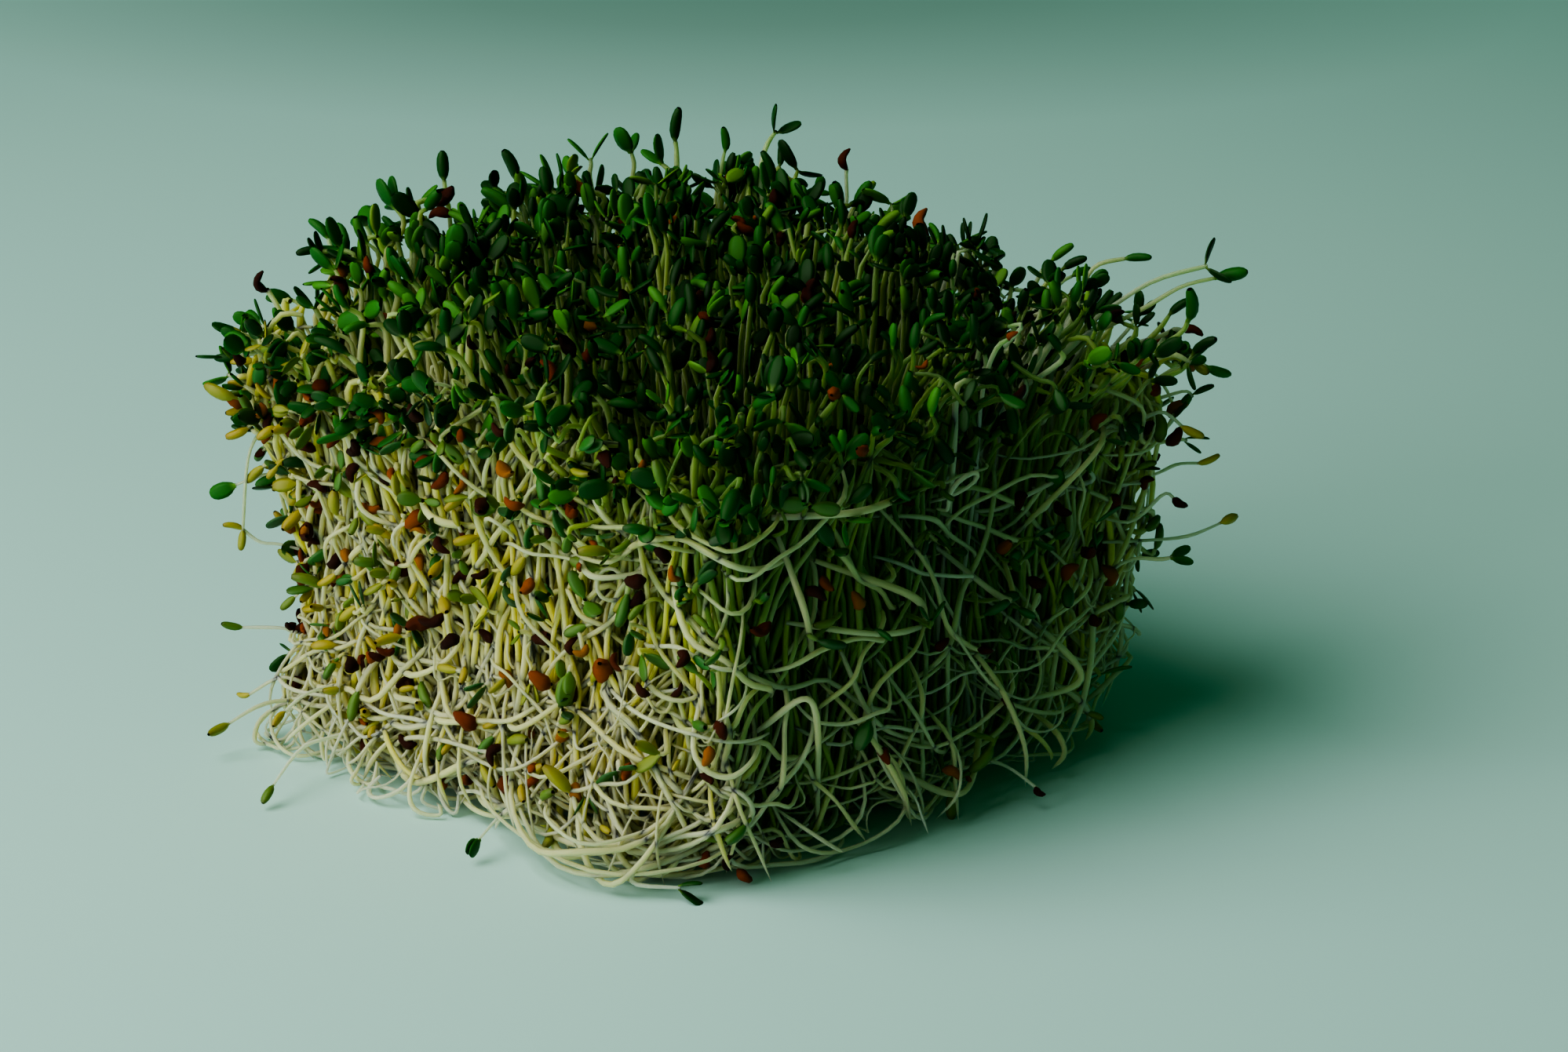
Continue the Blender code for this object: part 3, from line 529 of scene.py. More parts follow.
def canopy():
    """The upright sprouts: stems from the foot to the leaf layer, and the leaves on them."""
    # Where each one stands, and the clump that it leans with
    grid = (np.arange(CANOPY_ROWS) + 0.5) / CANOPY_ROWS * 2 - 1
    u, v = (a.reshape(-1) for a in np.meshgrid(grid, grid))
    count = len(u)
    jitter = 1.1 / CANOPY_ROWS
    u = np.clip(u + uniform(-jitter, jitter, count), -1, 1)
    v = np.clip(v + uniform(-jitter, jitter, count), -1, 1)
    rim = np.maximum(np.abs(u), np.abs(v))
    clump = uniform(-1, 1, CLUMPS, 2)
    gap = clump[None] - np.stack([u, v], axis=-1)[:, None]
    nearest = np.argmin(np.sum(gap ** 2, axis=-1), axis=1)
    pull = gap[np.arange(count), nearest] * 0.3

    # How high it reaches: some at the rim hang down the sides
    height = DRAW.normal(size=CLUMPS)[nearest] * 1.8
    sway_way = (DRAW.normal(size=(CLUMPS, 3)) * np.array([0.3, 0.3, 0]))[nearest]
    hang = np.interp(place_round(u, v), HANG_PLACES, HANG_DEPTHS)
    hanging = (rim > 0.86) & (uniform(0, 1, count) < 0.6)
    drop = np.where(hanging, hang * uniform(0.1, 1, count), 15 * uniform(0, 1, count) ** 1.5)
    high = crown(u, v) - 3.0 - drop + np.clip(height, -3, 2.5)
    low = uniform(2.0, 9.0, count)
    away = np.stack([u ** 3, v ** 3, np.zeros(count)], axis=-1)
    lean = uniform(-0.035, 0.035, 2, count) + pull.T
    s = place_round(u, v)

    # How far painted shade darkens its stem, more inside the canopy and towards the shaded side, and of
    # what kind: some are pale at the back's right end and take little of it
    # green is the painted shade of the stem's place, not a colour that the stem has of its own
    green = painted_shade_at(s, 60.0)
    shade = np.where(rim > 0.8, green, np.clip(0.75 + 0.4 * u, green, 1)) * uniform(0.75, 1, count)
    pale = (u + v > 1.0) & (uniform(0, 1, count) < 0.6)
    shade = np.where(pale, 0.15 * shade, shade)
    # Painted light: towards the shaded +X side its stem takes only the bright tones, which offsets part of
    # its painted shade
    tones = np.where(u > 0.7, 4, 0), np.where(u > 0.7, 6, 4)
    stem_draws = np.where(pale, of_kind(count, 0.0, 0.12, (5, 6)), of_kind(count, 0.2, 0.65, tones))

    # The path of its stem, deeper in the block where the stems outside it carry painted shade
    tucked = 0.93 - 0.10 * np.where(rim > 0.7, green, 0.0)
    foot = place(u * tucked, v * tucked, low)
    neck = place(np.clip(u * 0.97 + lean[0], -1, 1), np.clip(v * 0.97 + lean[1], -1, 1), high)
    reach = np.interp(s, HANG_PLACES, HANG_REACHES)
    neck += away * lerp(-1.5, reach, uniform(0, 1, count))[:, None]
    controls = [foot]
    for t in (0.3, 0.6, 0.85):
        sway = DRAW.normal(size=(count, 3)) * np.array([1.4, 1.4, 0.5])
        inner = place(u * (tucked + 0.01), v * (tucked + 0.01), lerp(low, high, t))
        controls.append(lerp(inner, lerp(foot, neck, t), 0.45) + sway)
    spread = np.where(uniform(0, 1, count) < 0.35, uniform(0.8, 2.6, count), uniform(0.1, 0.7, count))
    ways = tilted(unit(away * 0.8 + sway_way + np.array([0, 0, 1.0])), spread)
    controls.append(neck - ways * 3.0)
    controls.append(neck)
    width = uniform(0.65, 1.1, count)
    outer = rim > 0.78
    start, end = tuned(low, high * 1.2, shade)
    stems = [
        stem_batch([c[group] for c in controls], steps, width[group], sides,
                   along=(start[group], end[group]), draws=stem_draws[group])
        for group, steps, sides in ((outer, 17, 6), (~outer, 7, 5))
    ]

    # What it carries: open leaves, shut ones or a seed coat
    # Painted shade: the draws run darker towards the shaded +X side, for its leaves and its seed coats
    # alike
    draws = uniform(0, 1, count) ** (1.4 + 0.7 * u)
    kind = uniform(0, 1, count)
    is_coat = kind >= 0.94
    is_open = kind < 0.58 - 0.2 * u
    is_shut = ~is_open & ~is_coat
    size = uniform(0.72, 1.15, count) * (1 - 0.10 * np.clip(u, 0, 1))
    leaves = open_pairs(neck[is_open], ways[is_open], draws[is_open], size[is_open])
    leaves.append(shut_pairs(neck[is_shut], ways[is_shut], draws[is_shut], size[is_shut]))
    shells = [coats(neck[is_coat], ways[is_coat], draws[is_coat], size[is_coat] * 1.2)]
    return stems, leaves, shells


def side_strands(count, heights, lengths, lean, turn, waver, out, widths, shade_range, kinds, tones,
                 sink=5.5, shares=STRAND_SHARES):
    """Strands of one kind that wind over the sides and sink in again at both ends."""
    steps = 17
    s = side_places(count, shares)
    z = uniform(*heights, count)
    t = np.linspace(0, 1, steps)

    # Which way it heads, step by step: neighbours lean together, and each one wavers
    hand = DRAW.choice([-1, 1], count)
    shared = 0.22 * np.sin(19 * s + 0.11 * z) + 0.16 * np.sin(43 * s - 0.08 * z)
    heading = (hand * uniform(*lean, count) + shared)[:, None]
    heading = heading + (hand * uniform(*turn, count))[:, None] * (t - 0.5)
    for waves in (1.3, 2.9):
        swing = waver * DRAW.normal(size=count)[:, None]
        heading = heading + swing * np.sin(math.tau * (waves * t + uniform(0, 1, count)[:, None]))
    reach = (uniform(*lengths, count) / (steps - 1))[:, None]
    level = np.cumsum(np.sin(heading) * reach, axis=1)
    rise = np.cumsum(np.cos(heading) * reach, axis=1)
    level -= level.mean(axis=1, keepdims=True)
    rise -= rise.mean(axis=1, keepdims=True)

    # How far it stands out of the side, and how high it may go
    sunk = sink * np.abs(2 * t - 1) ** 3.5
    wobble = 0.8 * np.sin(math.tau * (1.7 * t + uniform(0, 1, count)[:, None]))
    # shade is painted shade: it darkens the strand towards near-black green, and it also sets the strand
    # deeper in the side
    shade = uniform(*shade_range, count) * painted_shade_at(s % 4, z)
    stand = (uniform(*out, count) - 4.5 * shade)[:, None] - sunk + wobble
    above = np.maximum(z[:, None] + rise, 0.9 + uniform(0, 1.2, count)[:, None])
    spots = s[:, None] + level / (2 * HALF)
    above = np.minimum(above, crown(*around(spots)) - uniform(10, 16, count)[:, None])
    paths = softened(on_side(spots, above, stand), 2)
    # Painted light: on the shaded side the strands take only the bright tones, which offsets part of their
    # painted shade; they are thinner there too
    shaded = (s > 1.05) & (s < 2)
    width = uniform(*widths, count) * np.where(shaded, 0.82, 1.0)
    draws = np.where(shaded, of_kind(count, *kinds, (4, 6)), of_kind(count, *kinds, tones))
    return strand_batch(paths, width, 6, 0.6, tuned(above[:, 0], above[:, -1], shade), draws)


def foot_ends():
    """Stems and roots that end free, under the sides' lower edge or just out from it."""
    count = FOOT_ENDS
    s = side_places(count, STRAND_SHARES)
    start = uniform(10, 30, count)
    drift = DRAW.normal(size=count) * 0.07
    reach = uniform(-1.0, 4.5, count) + 3.5 * np.exp(-((s - 0.27) / 0.22) ** 2)
    controls = [
        on_side(s, start, -6.0),
        on_side(s + drift * 0.3, lerp(start, 2, 0.3), reach * 0.3),
        on_side(s + drift * 0.7, lerp(start, 2, 0.7), reach),
        on_side(s + drift, uniform(0.6, 4.0, count), reach + uniform(-2, 2.5, count)),
    ]
    return stem_batch(controls, 13, uniform(0.4, 1.0, count), 6, 0.06, along=(0.3, 0.0))


def floor_curls():
    """Thin roots that curl out over the floor at the lit side's left end."""
    count = FLOOR_CURLS
    s = uniform(-0.04, 0.46, count)
    bend = uniform(-0.09, 0.09, count)
    reach = uniform(3, 9, count)
    controls = [
        on_side(s, uniform(6, 16, count), -3.0),
        on_side(s + bend * uniform(-0.3, 0.4, count), uniform(2, 7, count),
                reach * uniform(0.5, 0.8, count)),
        on_side(s + bend * 0.7, uniform(0.7, 2.5, count), reach),
        on_side(s + bend * uniform(1.1, 1.7, count), uniform(0.6, 1.4, count),
                reach * uniform(0.7, 1, count)),
        on_side(s + bend * uniform(1.0, 1.8, count), uniform(0.6, 5, count),
                reach * uniform(0, 0.7, count)),
    ]
    return stem_batch(controls, 17, uniform(0.35, 0.85, count), 6, 0.45, along=(0.2, 0.0),
                      draws=of_kind(count, 0.05, 0.4))


def swirl_roots():
    """The sweep of roots that bulges out at the foot of the lit side, near its right corner."""
    count = SWIRL_ROOTS
    start = uniform(0.46, 0.82, count)
    end = uniform(0.86, 1.10, count)
    first = uniform(3, 20, count)
    last = uniform(5, 24, count)
    dip = 0.9 + 9 * uniform(0, 1, count) ** 1.4
    bulge = uniform(0.5, 8.0, count)
    controls = [on_side(start - 0.03, first + 2, uniform(-6, -3, count))]
    for t in (0.15, 0.38, 0.62, 0.85):
        arc = math.sin(math.pi * t)
        height = lerp(lerp(first, last, t), dip, arc ** 0.8) + uniform(-1.2, 1.8, count)
        out = bulge * arc + uniform(-1.4, 1.4, count)
        along = lerp(start, end, t) + uniform(-0.012, 0.012, count)
        controls.append(on_side(along, np.maximum(0.8, height), out))
    controls.append(on_side(end + 0.02, last + 2, uniform(-6, -3, count)))
    return stem_batch(controls, 17, uniform(0.5, 1.0, count), 6, 0.6, along=(0.05, 0.3),
                      draws=of_kind(count, 0.15, 0.45, (1, 4)))


def under_roots():
    """The root mat under the block."""
    count = UNDER_ROOTS
    heading = uniform(0, math.tau, count)
    centre = place(uniform(-0.85, 0.85, count), uniform(-0.85, 0.85, count), np.zeros(count))
    centre[:, 2] = 0
    reach = np.stack([np.cos(heading), np.sin(heading), np.zeros(count)], -1)
    cross = np.stack([-np.sin(heading), np.cos(heading), np.zeros(count)], -1)
    length = uniform(6, 15, count)[:, None]
    controls = []
    for t in (-1, -0.6, -0.2, 0.2, 0.6, 1):
        bow = uniform(-3, 3, count)[:, None]
        up = uniform(4, 9, count) if t in (-1, 1) else uniform(0.6, 3.0, count)
        point = centre + reach * length * t + cross * bow
        point[:, 2] = up
        limit = place(0.93, 0.0, 0.0)[0]
        point[:, :2] = np.clip(point[:, :2], -limit, limit)
        controls.append(point)
    return stem_batch(controls, 13, uniform(0.5, 1.1, count), 5, 0.5, along=(0.0, 0.2))


def side_growths(count, low, high, rise, reach, fall=(-6, 10), shares=CAUGHT_SHARES):
    """Places for what is caught among the side stems: a stalk to each, its tip, its way and the painted
    shade of its place.
    """
    s = side_places(count, shares)
    u, v = around(s)
    z = np.minimum(lerp(low, high, uniform(0, 1, count) ** rise), crown(u, v) - 9)
    root = on_side(s + uniform(-0.05, 0.05, count), np.maximum(1.5, z - uniform(*fall, count)),
                   uniform(-7, -4, count))
    tip = on_side(s, z, uniform(-1.5, 1.0, count) + reach)
    away = outward(u, v)
    level = np.cross(away, np.array([0, 0, 1.0]))
    ways = unit(away * uniform(0.0, 0.9, count)[:, None] + level * uniform(-1, 1, count)[:, None]
                + np.array([0, 0, 1.0]) * uniform(-1, 1, count)[:, None])
    middle = lerp(root, tip, 0.55) + np.array([0, 0, 1.0]) * uniform(-1, 3, count)[:, None]
    stalks = stem_batch([root, middle, tip - ways * 1.2, tip + ways * 0.2], 8,
                        uniform(0.55, 1.0, count), 5, 0.8, along=tuned(z * 0.9, z, painted_shade_at(s, z)))
    return stalks, tip, ways, painted_shade_at(s, z)


def drawn_strands():
    """The long strands that cross the lit and the shaded side."""
    batches = []
    for first_side, runs in ((0, FRONT_STRANDS), (1, RIGHT_STRANDS)):
        for run in runs:
            controls = []
            for i, (level, z) in enumerate(run):
                share = max(-0.98, min(0.98, level / (HALF * float(outline(np.array(float(z)))))))
                out = -4.0 if i in (0, len(run) - 1) else 2.6
                s = np.array([first_side + (share + 1) / 2])
                controls.append(on_side(s, np.array([float(z)]), np.array([out])))
            batches.append(stem_batch(controls, 20, uniform(0.85, 1.15, 1), 8, 0.7, along=(0.1, 0.5),
                                      draws=of_kind(1, 0.1, 0.4)))
    return batches


def loose_sprouts():
    """The sprouts that hang or stand clear of the block."""
    roots, bends, tips = (np.array([row[i] for row in LOOSE_SPROUTS], float) for i in range(3))
    kinds = np.array([row[3] for row in LOOSE_SPROUTS])
    low = roots[:, 2] < LOW_SPROUTS
    ways = unit(tips - bends)
    size = np.where(low, 0.78, 1.0)
    necks = tips - ways * (4.2 * size)[:, None]
    count = len(roots)
    draws = np.where(low, uniform(0.15, 0.70, count), uniform(0.05, 0.75, count))
    high = roots[:, 2] / 100
    middles = lerp(roots, bends, 0.6) + DRAW.normal(size=roots.shape) * 0.8
    stalks = stem_batch([roots, middles, bends, necks + ways * 0.3], 12,
                        uniform(0.65, 0.9, count) * size, 7, 0.8, along=(high * 0.8, high + 0.1),
                        draws=of_kind(count, 0.0, 0.25))
    is_open, is_shut, is_coat = (kinds == kind for kind in ("open", "bean", "coat"))
    leaves = open_pairs(necks[is_open], ways[is_open], draws[is_open], size[is_open])
    upper, lower = is_shut & ~low, is_shut & low
    leaves.append(shut_pairs(necks[upper], ways[upper], draws[upper], size[upper]))
    beans = shut_pairs(necks[lower], ways[lower], draws[lower], size[lower])
    shells = coats(necks[is_coat], ways[is_coat], draws[is_coat], size[is_coat])
    return stalks, leaves, beans, shells


def tuft_middles():
    """The middle of each tuft, as the solids have it."""
    draw = random.Random(TUFT_SEED)
    middles = {}
    for row in range(ROWS):
        for column in range(ROWS):
            x = (column - 1) * TUFT_PITCH + draw.uniform(-TUFT_SHIFT, TUFT_SHIFT)
            y = (row - 1) * TUFT_PITCH + draw.uniform(-TUFT_SHIFT, TUFT_SHIFT)
            middles[row, column] = np.array([x, y])
    return middles


def share_out(batches):
    """The batches' shapes by the tuft that each is rooted in."""
    middles = tuft_middles()
    tufts = {key: [] for key in middles}
    keys = list(middles)
    spots = np.array([middles[key] for key in keys])
    for batch in batches:
        roots = batch.paths[:, 0, :2]
        nearest = np.argmin(np.linalg.norm(roots[:, None] - spots[None], axis=-1), axis=1)
        for i, key in enumerate(keys):
            chosen = np.nonzero(nearest == i)[0]
            if len(chosen):
                tufts[key].append(batch.part(chosen))
    return tufts


def make_piece(name, batches, finish):
    """One smooth mesh in metres from some batches, with its colour attributes and its UV map."""
    points, faces, along, draws, uvs, offset = [], [], [], [], [], 0
    for batch in batches:
        p, f, a, d, uv = batch.mesh_arrays()
        points.append(p)
        faces.append(f + offset)
        along.append(a)
        draws.append(d)
        uvs.append(uv)
        offset += len(p)
    points = np.concatenate(points)
    points = (points + np.array([AXIS[0], AXIS[1], 0])) * MM
    points[:, 2] = np.maximum(points[:, 2], 0)
    faces = np.concatenate(faces)
    mesh = bpy.data.meshes.new(name)
    mesh.vertices.add(len(points))
    mesh.vertices.foreach_set("co", points.astype(np.float32).ravel())
    mesh.loops.add(faces.size)
    mesh.loops.foreach_set("vertex_index", faces.astype(np.int32).ravel())
    mesh.polygons.add(len(faces))
    mesh.polygons.foreach_set("loop_start", np.arange(0, faces.size, 4, dtype=np.int32))
    mesh.polygons.foreach_set("use_smooth", np.ones(len(faces), bool))
    for label, values in (("along", along), ("draw", draws)):
        attribute = mesh.attributes.new(label, "FLOAT", "POINT")
        attribute.data.foreach_set("value", np.concatenate(values).astype(np.float32))
    layer = mesh.uv_layers.new(name="OFBake")
    layer.data.foreach_set("uv", np.concatenate(uvs).astype(np.float32).ravel())
    mesh.update()
    mesh.validate()
    mesh.materials.append(finish)
    piece = bpy.data.objects.new(name, mesh)
    bpy.context.scene.collection.objects.link(piece)
    return piece


class Nodes:
    """A short way to build a material's node tree."""

    def __init__(self, name):
        self.finish = bpy.data.materials.new(name)
        self.finish.use_nodes = True
        self.tree = self.finish.node_tree
        self.shader = self.tree.nodes["Principled BSDF"]

    def add(self, kind, inputs=None, **settings):
        """A node with its settings, and its inputs as sockets to link or values to set."""
        node = self.tree.nodes.new(kind)
        for key, value in settings.items():
            setattr(node, key, value)
        for key, value in (inputs or {}).items():
            if isinstance(value, bpy.types.NodeSocket):
                self.tree.links.new(value, node.inputs[key])
            else:
                node.inputs[key].default_value = value
        return node

    def attribute(self, label):
        """A number that the mesh holds at each point."""
        return self.add("ShaderNodeAttribute", attribute_name=label).outputs["Fac"]

    def ramp(self, factor, stops):
        """A scale of colour."""
        node = self.add("ShaderNodeValToRGB", {"Fac": factor})
        elements = node.color_ramp.elements
        while len(elements) < len(stops):
            elements.new(0.5)
        for element, (position, shade) in zip(elements, stops):
            element.position = position
            element.color = (*shade, 1)
        return node.outputs["Color"]

    def mix(self, factor, one, other, blend):
        """One colour mixed with another, by a kind of blend."""
        node = self.add("ShaderNodeMix", data_type="RGBA", blend_type=blend)
        for index, value in ((0, factor), (6, one), (7, other)):
            if isinstance(value, bpy.types.NodeSocket):
                self.tree.links.new(value, node.inputs[index])
            else:
                node.inputs[index].default_value = value
        return node.outputs[2]

    def math(self, operation, one, other):
        """Two numbers put together by an operation."""
        return self.add("ShaderNodeMath", {0: one, 1: other}, operation=operation).outputs[0]

    def set(self, **inputs):
        """The shader's own inputs, as sockets to link or values to set."""
        for label, value in inputs.items():
            socket = self.shader.inputs[label.replace("_", " ")]
            if isinstance(value, bpy.types.NodeSocket):
                self.tree.links.new(value, socket)
            else:
                socket.default_value = value

    def grain(self, scale, strength, distance):
        """A fine unevenness of the surface."""
        noise = self.add("ShaderNodeTexNoise", {"Scale": scale, "Detail": 3.0})
        bump = self.add("ShaderNodeBump", {"Strength": strength, "Distance": distance,
                                           "Height": noise.outputs["Fac"]})
        self.tree.links.new(bump.outputs["Normal"], self.shader.inputs["Normal"])
        return noise.outputs["Fac"]


def stalk_finish(name):
    """Moist, half see-through stems: cream white, and pale green towards the leaves; the near-black green
    at the end of the scale is painted shade.
    """
    nodes = Nodes(name)
    along = nodes.attribute("along")
    draw = nodes.attribute("draw")
    noise = nodes.grain(900.0, 0.25, 0.0002)
    shifted = nodes.math("ADD", along, nodes.math("MULTIPLY", nodes.math("SUBTRACT", draw, 0.5), 0.16))
    base = nodes.ramp(shifted, [
        (0.0, (0.66, 0.63, 0.39)),
        (0.35, (0.65, 0.62, 0.32)),
        (0.55, (0.61, 0.63, 0.31)),
        (0.70, (0.46, 0.56, 0.25)),
        # Painted shade: the deep green and the near-black green at this end are reached mostly by the
        # stems that carry painted shade
        (0.84, (0.24, 0.38, 0.11)),
        (1.0, (0.06, 0.14, 0.026)),
    ])
    kind = nodes.ramp(nodes.math("FRACT", nodes.math("MULTIPLY", draw, KINDS_REPEAT), 0.0), [
        (0.0, (1.04, 1.14, 1.42)),
        (0.20, (1.02, 1.03, 1.06)),
        (0.45, (1.0, 1.0, 0.92)),
        (0.70, (1.14, 1.05, 0.76)),
        # Painted glow: the amber end lifts the stems above their own colour, as light passing through them
        # would
        (0.88, (1.34, 1.17, 0.54)),
        (1.0, (1.36, 1.14, 0.30)),
    ])
    tone = nodes.ramp(draw, [(0.0, (0.76, 0.76, 0.76)), (1.0, (1.10, 1.10, 1.10))])
    varied = nodes.mix(1.0, nodes.mix(1.0, base, kind, "MULTIPLY"), tone, "MULTIPLY")
    mottled = nodes.mix(nodes.math("MULTIPLY", noise, 0.3), varied, (0.55, 0.52, 0.30, 1), "MULTIPLY")
    nodes.set(Base_Color=mottled, Roughness=0.48, Subsurface_Weight=1.0, Subsurface_Scale=0.004,
              Subsurface_Radius=(1.0, 0.95, 0.65), Specular_IOR_Level=0.3)
    return nodes.finish


def leaf_finish(name):
    """Waxy seed leaves: dark green for most, and mid green, yellow-green or olive for a few."""
    nodes = Nodes(name)
    along = nodes.attribute("along")
    draw = nodes.attribute("draw")
    noise = nodes.grain(700.0, 0.3, 0.0002)
    body = nodes.ramp(draw, [
        (0.0, (0.007, 0.052, 0.005)),
        (0.40, (0.014, 0.110, 0.009)),
        (0.68, (0.034, 0.215, 0.018)),
        (0.93, (0.105, 0.340, 0.036)),
        (1.0, (0.270, 0.420, 0.060)),
    ])
    base = nodes.ramp(along, [(0.0, (0.20, 0.27, 0.06)), (0.22, (0.0, 0.0, 0.0)), (1.0, (0.0, 0.0, 0.0))])
    joined = nodes.mix(0.8, body, base, "ADD")
    mottled = nodes.mix(nodes.math("MULTIPLY", noise, 0.6), joined, (0.35, 0.45, 0.25, 1), "MULTIPLY")
    nodes.set(Base_Color=mottled, Roughness=0.5, Subsurface_Weight=0.12, Subsurface_Scale=0.0006,
              Subsurface_Radius=(0.5, 1.0, 0.2), Specular_IOR_Level=0.3)
    return nodes.finish


def bean_finish(name):
    """Shut seed leaves that had no light: mustard yellow, and olive or green for some."""
    nodes = Nodes(name)
    along = nodes.attribute("along")
    draw = nodes.attribute("draw")
    noise = nodes.grain(700.0, 0.3, 0.0002)
    body = nodes.ramp(draw, [
        (0.0, (0.47, 0.37, 0.045)),
        (0.30, (0.52, 0.45, 0.075)),
        (0.50, (0.37, 0.38, 0.06)),
        (0.64, (0.17, 0.29, 0.045)),
        (0.80, (0.04, 0.20, 0.03)),
        (1.0, (0.02, 0.085, 0.02)),
    ])
    tip = nodes.ramp(along, [(0.0, (1.0, 1.0, 0.9)), (0.8, (0.9, 0.9, 0.8)), (1.0, (0.6, 0.5, 0.3))])
    shaded = nodes.mix(0.9, body, tip, "MULTIPLY")
    mottled = nodes.mix(nodes.math("MULTIPLY", noise, 0.5), shaded, (0.6, 0.5, 0.3, 1), "MULTIPLY")
    nodes.set(Base_Color=mottled, Roughness=0.4, Subsurface_Weight=0.2, Subsurface_Scale=0.0008,
              Subsurface_Radius=(1.0, 0.8, 0.2))
    return nodes.finish


def coat_finish(name):
    """Seed coats: brick red, brown, and near black where they are wet."""
    nodes = Nodes(name)
    draw = nodes.attribute("draw")
    noise = nodes.grain(1100.0, 0.5, 0.0003)
    body = nodes.ramp(draw, [
        (0.0, (0.030, 0.007, 0.004)),
        (0.35, (0.100, 0.019, 0.006)),
        (0.60, (0.300, 0.065, 0.016)),
        (0.85, (0.480, 0.135, 0.030)),
        (1.0, (0.520, 0.240, 0.060)),
    ])
    mottled = nodes.mix(noise, body, (0.35, 0.25, 0.2, 1), "MULTIPLY")
    nodes.set(Base_Color=mottled, Roughness=0.5, Specular_IOR_Level=0.2)
    return nodes.finish


def grow():
    """Makes all the pieces, each named by the tuft that it is rooted in and attached to the root body."""
    stems, leaves, shells = canopy()
    beans = []
    stems += [side_strands(**kind) for kind in STRANDS]
    stems += [foot_ends(), floor_curls(), swirl_roots(), under_roots()]
    stems += drawn_strands()

    stalks, tips, ways, green = side_growths(**SIDE_BEANS)
    count = len(tips)
    stems.append(stalks)
    # Painted shade: where the place is shaded, the shut leaves are drawn darker green
    draws = lerp(uniform(0, 0.75, count), uniform(0.6, 1, count), green)
    beans.append(shut_pairs(tips, ways, draws, uniform(0.55, 0.95, count), 1.05))

    stalks, tips, ways, green = side_growths(**SIDE_HEADS)
    count = len(tips)
    stems.append(stalks)
    # Painted shade: where the place is shaded, the open heads are drawn darker green
    draws = lerp(uniform(0.45, 1, count), uniform(0.7, 1, count), green)
    beans += open_pairs(tips, ways, draws, uniform(0.6, 0.95, count))

    stalks, tips, ways, _ = side_growths(**RIM_LEAVES)
    count = len(tips)
    stems.append(stalks)
    leaves += open_pairs(tips, ways, uniform(0, 0.8, count), uniform(0.75, 1.05, count))

    stalks, tips, ways, _ = side_growths(**SIDE_COATS)
    count = len(tips)
    shells.append(coats(tips, ways, uniform(0.05, 1, count), uniform(0.9, 1.2, count)))

    stalks, heads, pods, hulls = loose_sprouts()
    stems.append(stalks)
    leaves += heads
    beans.append(pods)
    shells.append(hulls)

    kinds = (
        ("Stalks", stems, stalk_finish, "stems"),
        ("Shut_leaves", beans, bean_finish, "stems"),
        ("Seed_coats", shells, coat_finish, "stems"),
        ("Seed_leaves", leaves, leaf_finish, "leaves"),
    )
    for title, batches, make_finish, node_kind in kinds:
        finish = make_finish(title.replace("_", " "))
        for (row, column), parts in share_out(batches).items():
            if not parts:
                continue
            spot = f"r{row + 1}c{column + 1}"
            piece = make_piece(f"{title}_{spot}", parts, finish)
            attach(piece, "root")
            if title in ("Stalks", "Seed_leaves"):
                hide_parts(f"{node_kind}_{spot}")


def make_floor():
    """A plain pale floor with painted shade far behind the block, fading out through a slightly brighter
    ring.
    """
    nodes = Nodes("Floor")
    spots = nodes.add("ShaderNodeTexCoord").outputs["Object"]
    away = nodes.add("ShaderNodeVectorMath", {0: spots, 1: FLOOR_SHADE_PATCH}, operation="DISTANCE")
    # Painted shade: darkest at the patch's middle, a little brighter than the rest of the floor in a ring
    # round it, then even
    tone = nodes.ramp(away.outputs["Value"], [
        (0.0, (0.44, 0.67, 0.65)),
        (0.10, (0.47, 0.71, 0.69)),
        (0.28, (0.64, 0.96, 0.95)),
        (0.60, (0.58, 0.87, 0.85)),
    ])
    nodes.set(Base_Color=tone, Roughness=0.7)
    corners = [(x * FLOOR_HALF, y * FLOOR_HALF, 0) for x, y in ((-1, -1), (1, -1), (1, 1), (-1, 1))]
    mesh = bpy.data.meshes.new("Floor")
    mesh.from_pydata(corners, [], [(0, 1, 2, 3)])
    mesh.materials.append(nodes.finish)
    floor = bpy.data.objects.new("Floor", mesh)
    bpy.context.scene.collection.objects.link(floor)


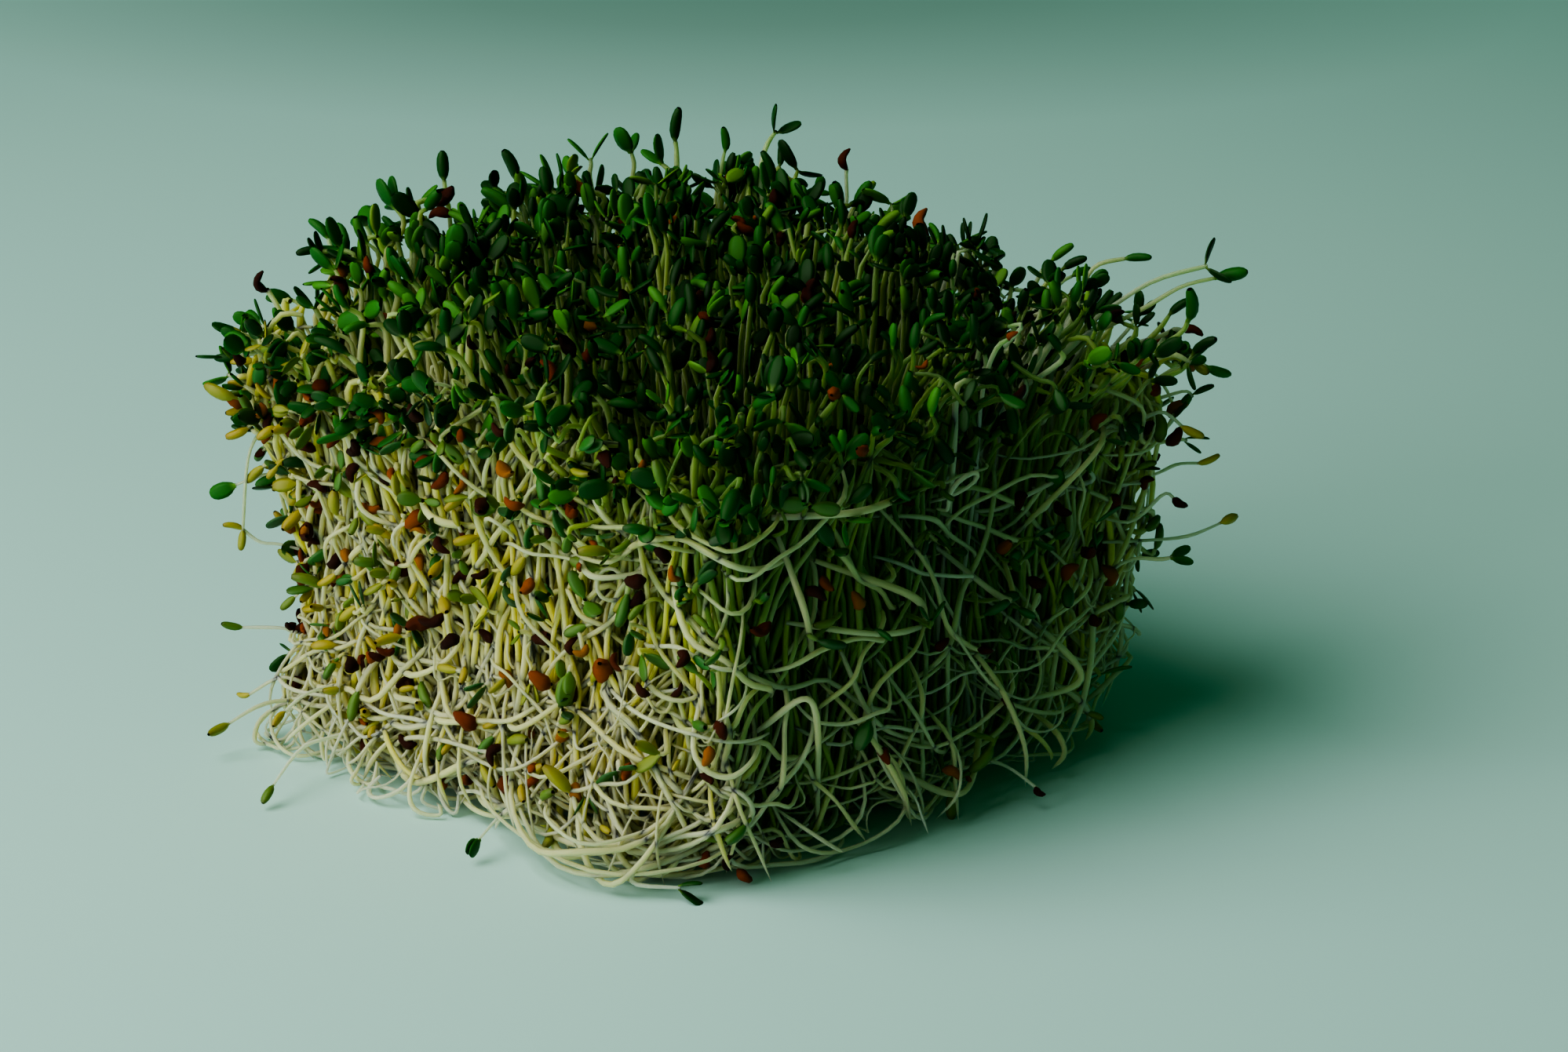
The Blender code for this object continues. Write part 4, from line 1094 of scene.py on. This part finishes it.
def make_lamps():
    """Soft lamps that point at the block."""
    aim = Vector((AXIS[0] * MM, AXIS[1] * MM, LAMP_AIM))
    for name, place_from_aim, size, energy in LAMPS:
        light = bpy.data.lights.new(name, "AREA")
        light.size = size
        light.energy = energy
        light.color = LAMP_COLOUR
        away = Vector(place_from_aim)
        lamp = bpy.data.objects.new(name, light)
        lamp.location = aim + away
        lamp.rotation_euler = away.to_track_quat("Z", "Y").to_euler()
        bpy.context.scene.collection.objects.link(lamp)


def make_surround():
    """Dim light from all round."""
    world = bpy.data.worlds.new("World")
    world.use_nodes = True
    background = world.node_tree.nodes["Background"]
    background.inputs["Color"].default_value = SURROUND_COLOUR
    background.inputs["Strength"].default_value = SURROUND_STRENGTH
    bpy.context.scene.world = world


def make_camera():
    """The camera, at the block's near corner and a little above it."""
    scene = bpy.context.scene
    turn = math.radians(CAMERA_TURN)
    rise = math.radians(CAMERA_RISE)
    back = Vector((math.sin(turn) * math.cos(rise), -math.cos(turn) * math.cos(rise), math.sin(rise)))
    side = Vector((math.cos(turn), math.sin(turn), 0))
    target = Vector((AXIS[0] * MM, AXIS[1] * MM, CAMERA_TARGET)) + side * CAMERA_SIDE
    camera = bpy.data.objects.new("Camera", bpy.data.cameras.new("Camera"))
    camera.data.lens = LENS
    camera.data.clip_start = 0.01
    camera.location = target + back * CAMERA_DISTANCE
    camera.rotation_euler = back.to_track_quat("Z", "Y").to_euler()
    scene.collection.objects.link(camera)
    scene.camera = camera
    scene.view_settings.look = "AgX - High Contrast"


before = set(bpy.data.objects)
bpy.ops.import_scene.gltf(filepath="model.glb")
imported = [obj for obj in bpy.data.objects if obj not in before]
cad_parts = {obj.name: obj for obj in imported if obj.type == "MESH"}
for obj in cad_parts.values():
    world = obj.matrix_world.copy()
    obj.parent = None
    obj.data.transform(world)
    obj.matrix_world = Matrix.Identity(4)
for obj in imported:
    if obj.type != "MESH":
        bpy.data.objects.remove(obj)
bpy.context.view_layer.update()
grow()
make_floor()
make_lamps()
make_surround()
make_camera()
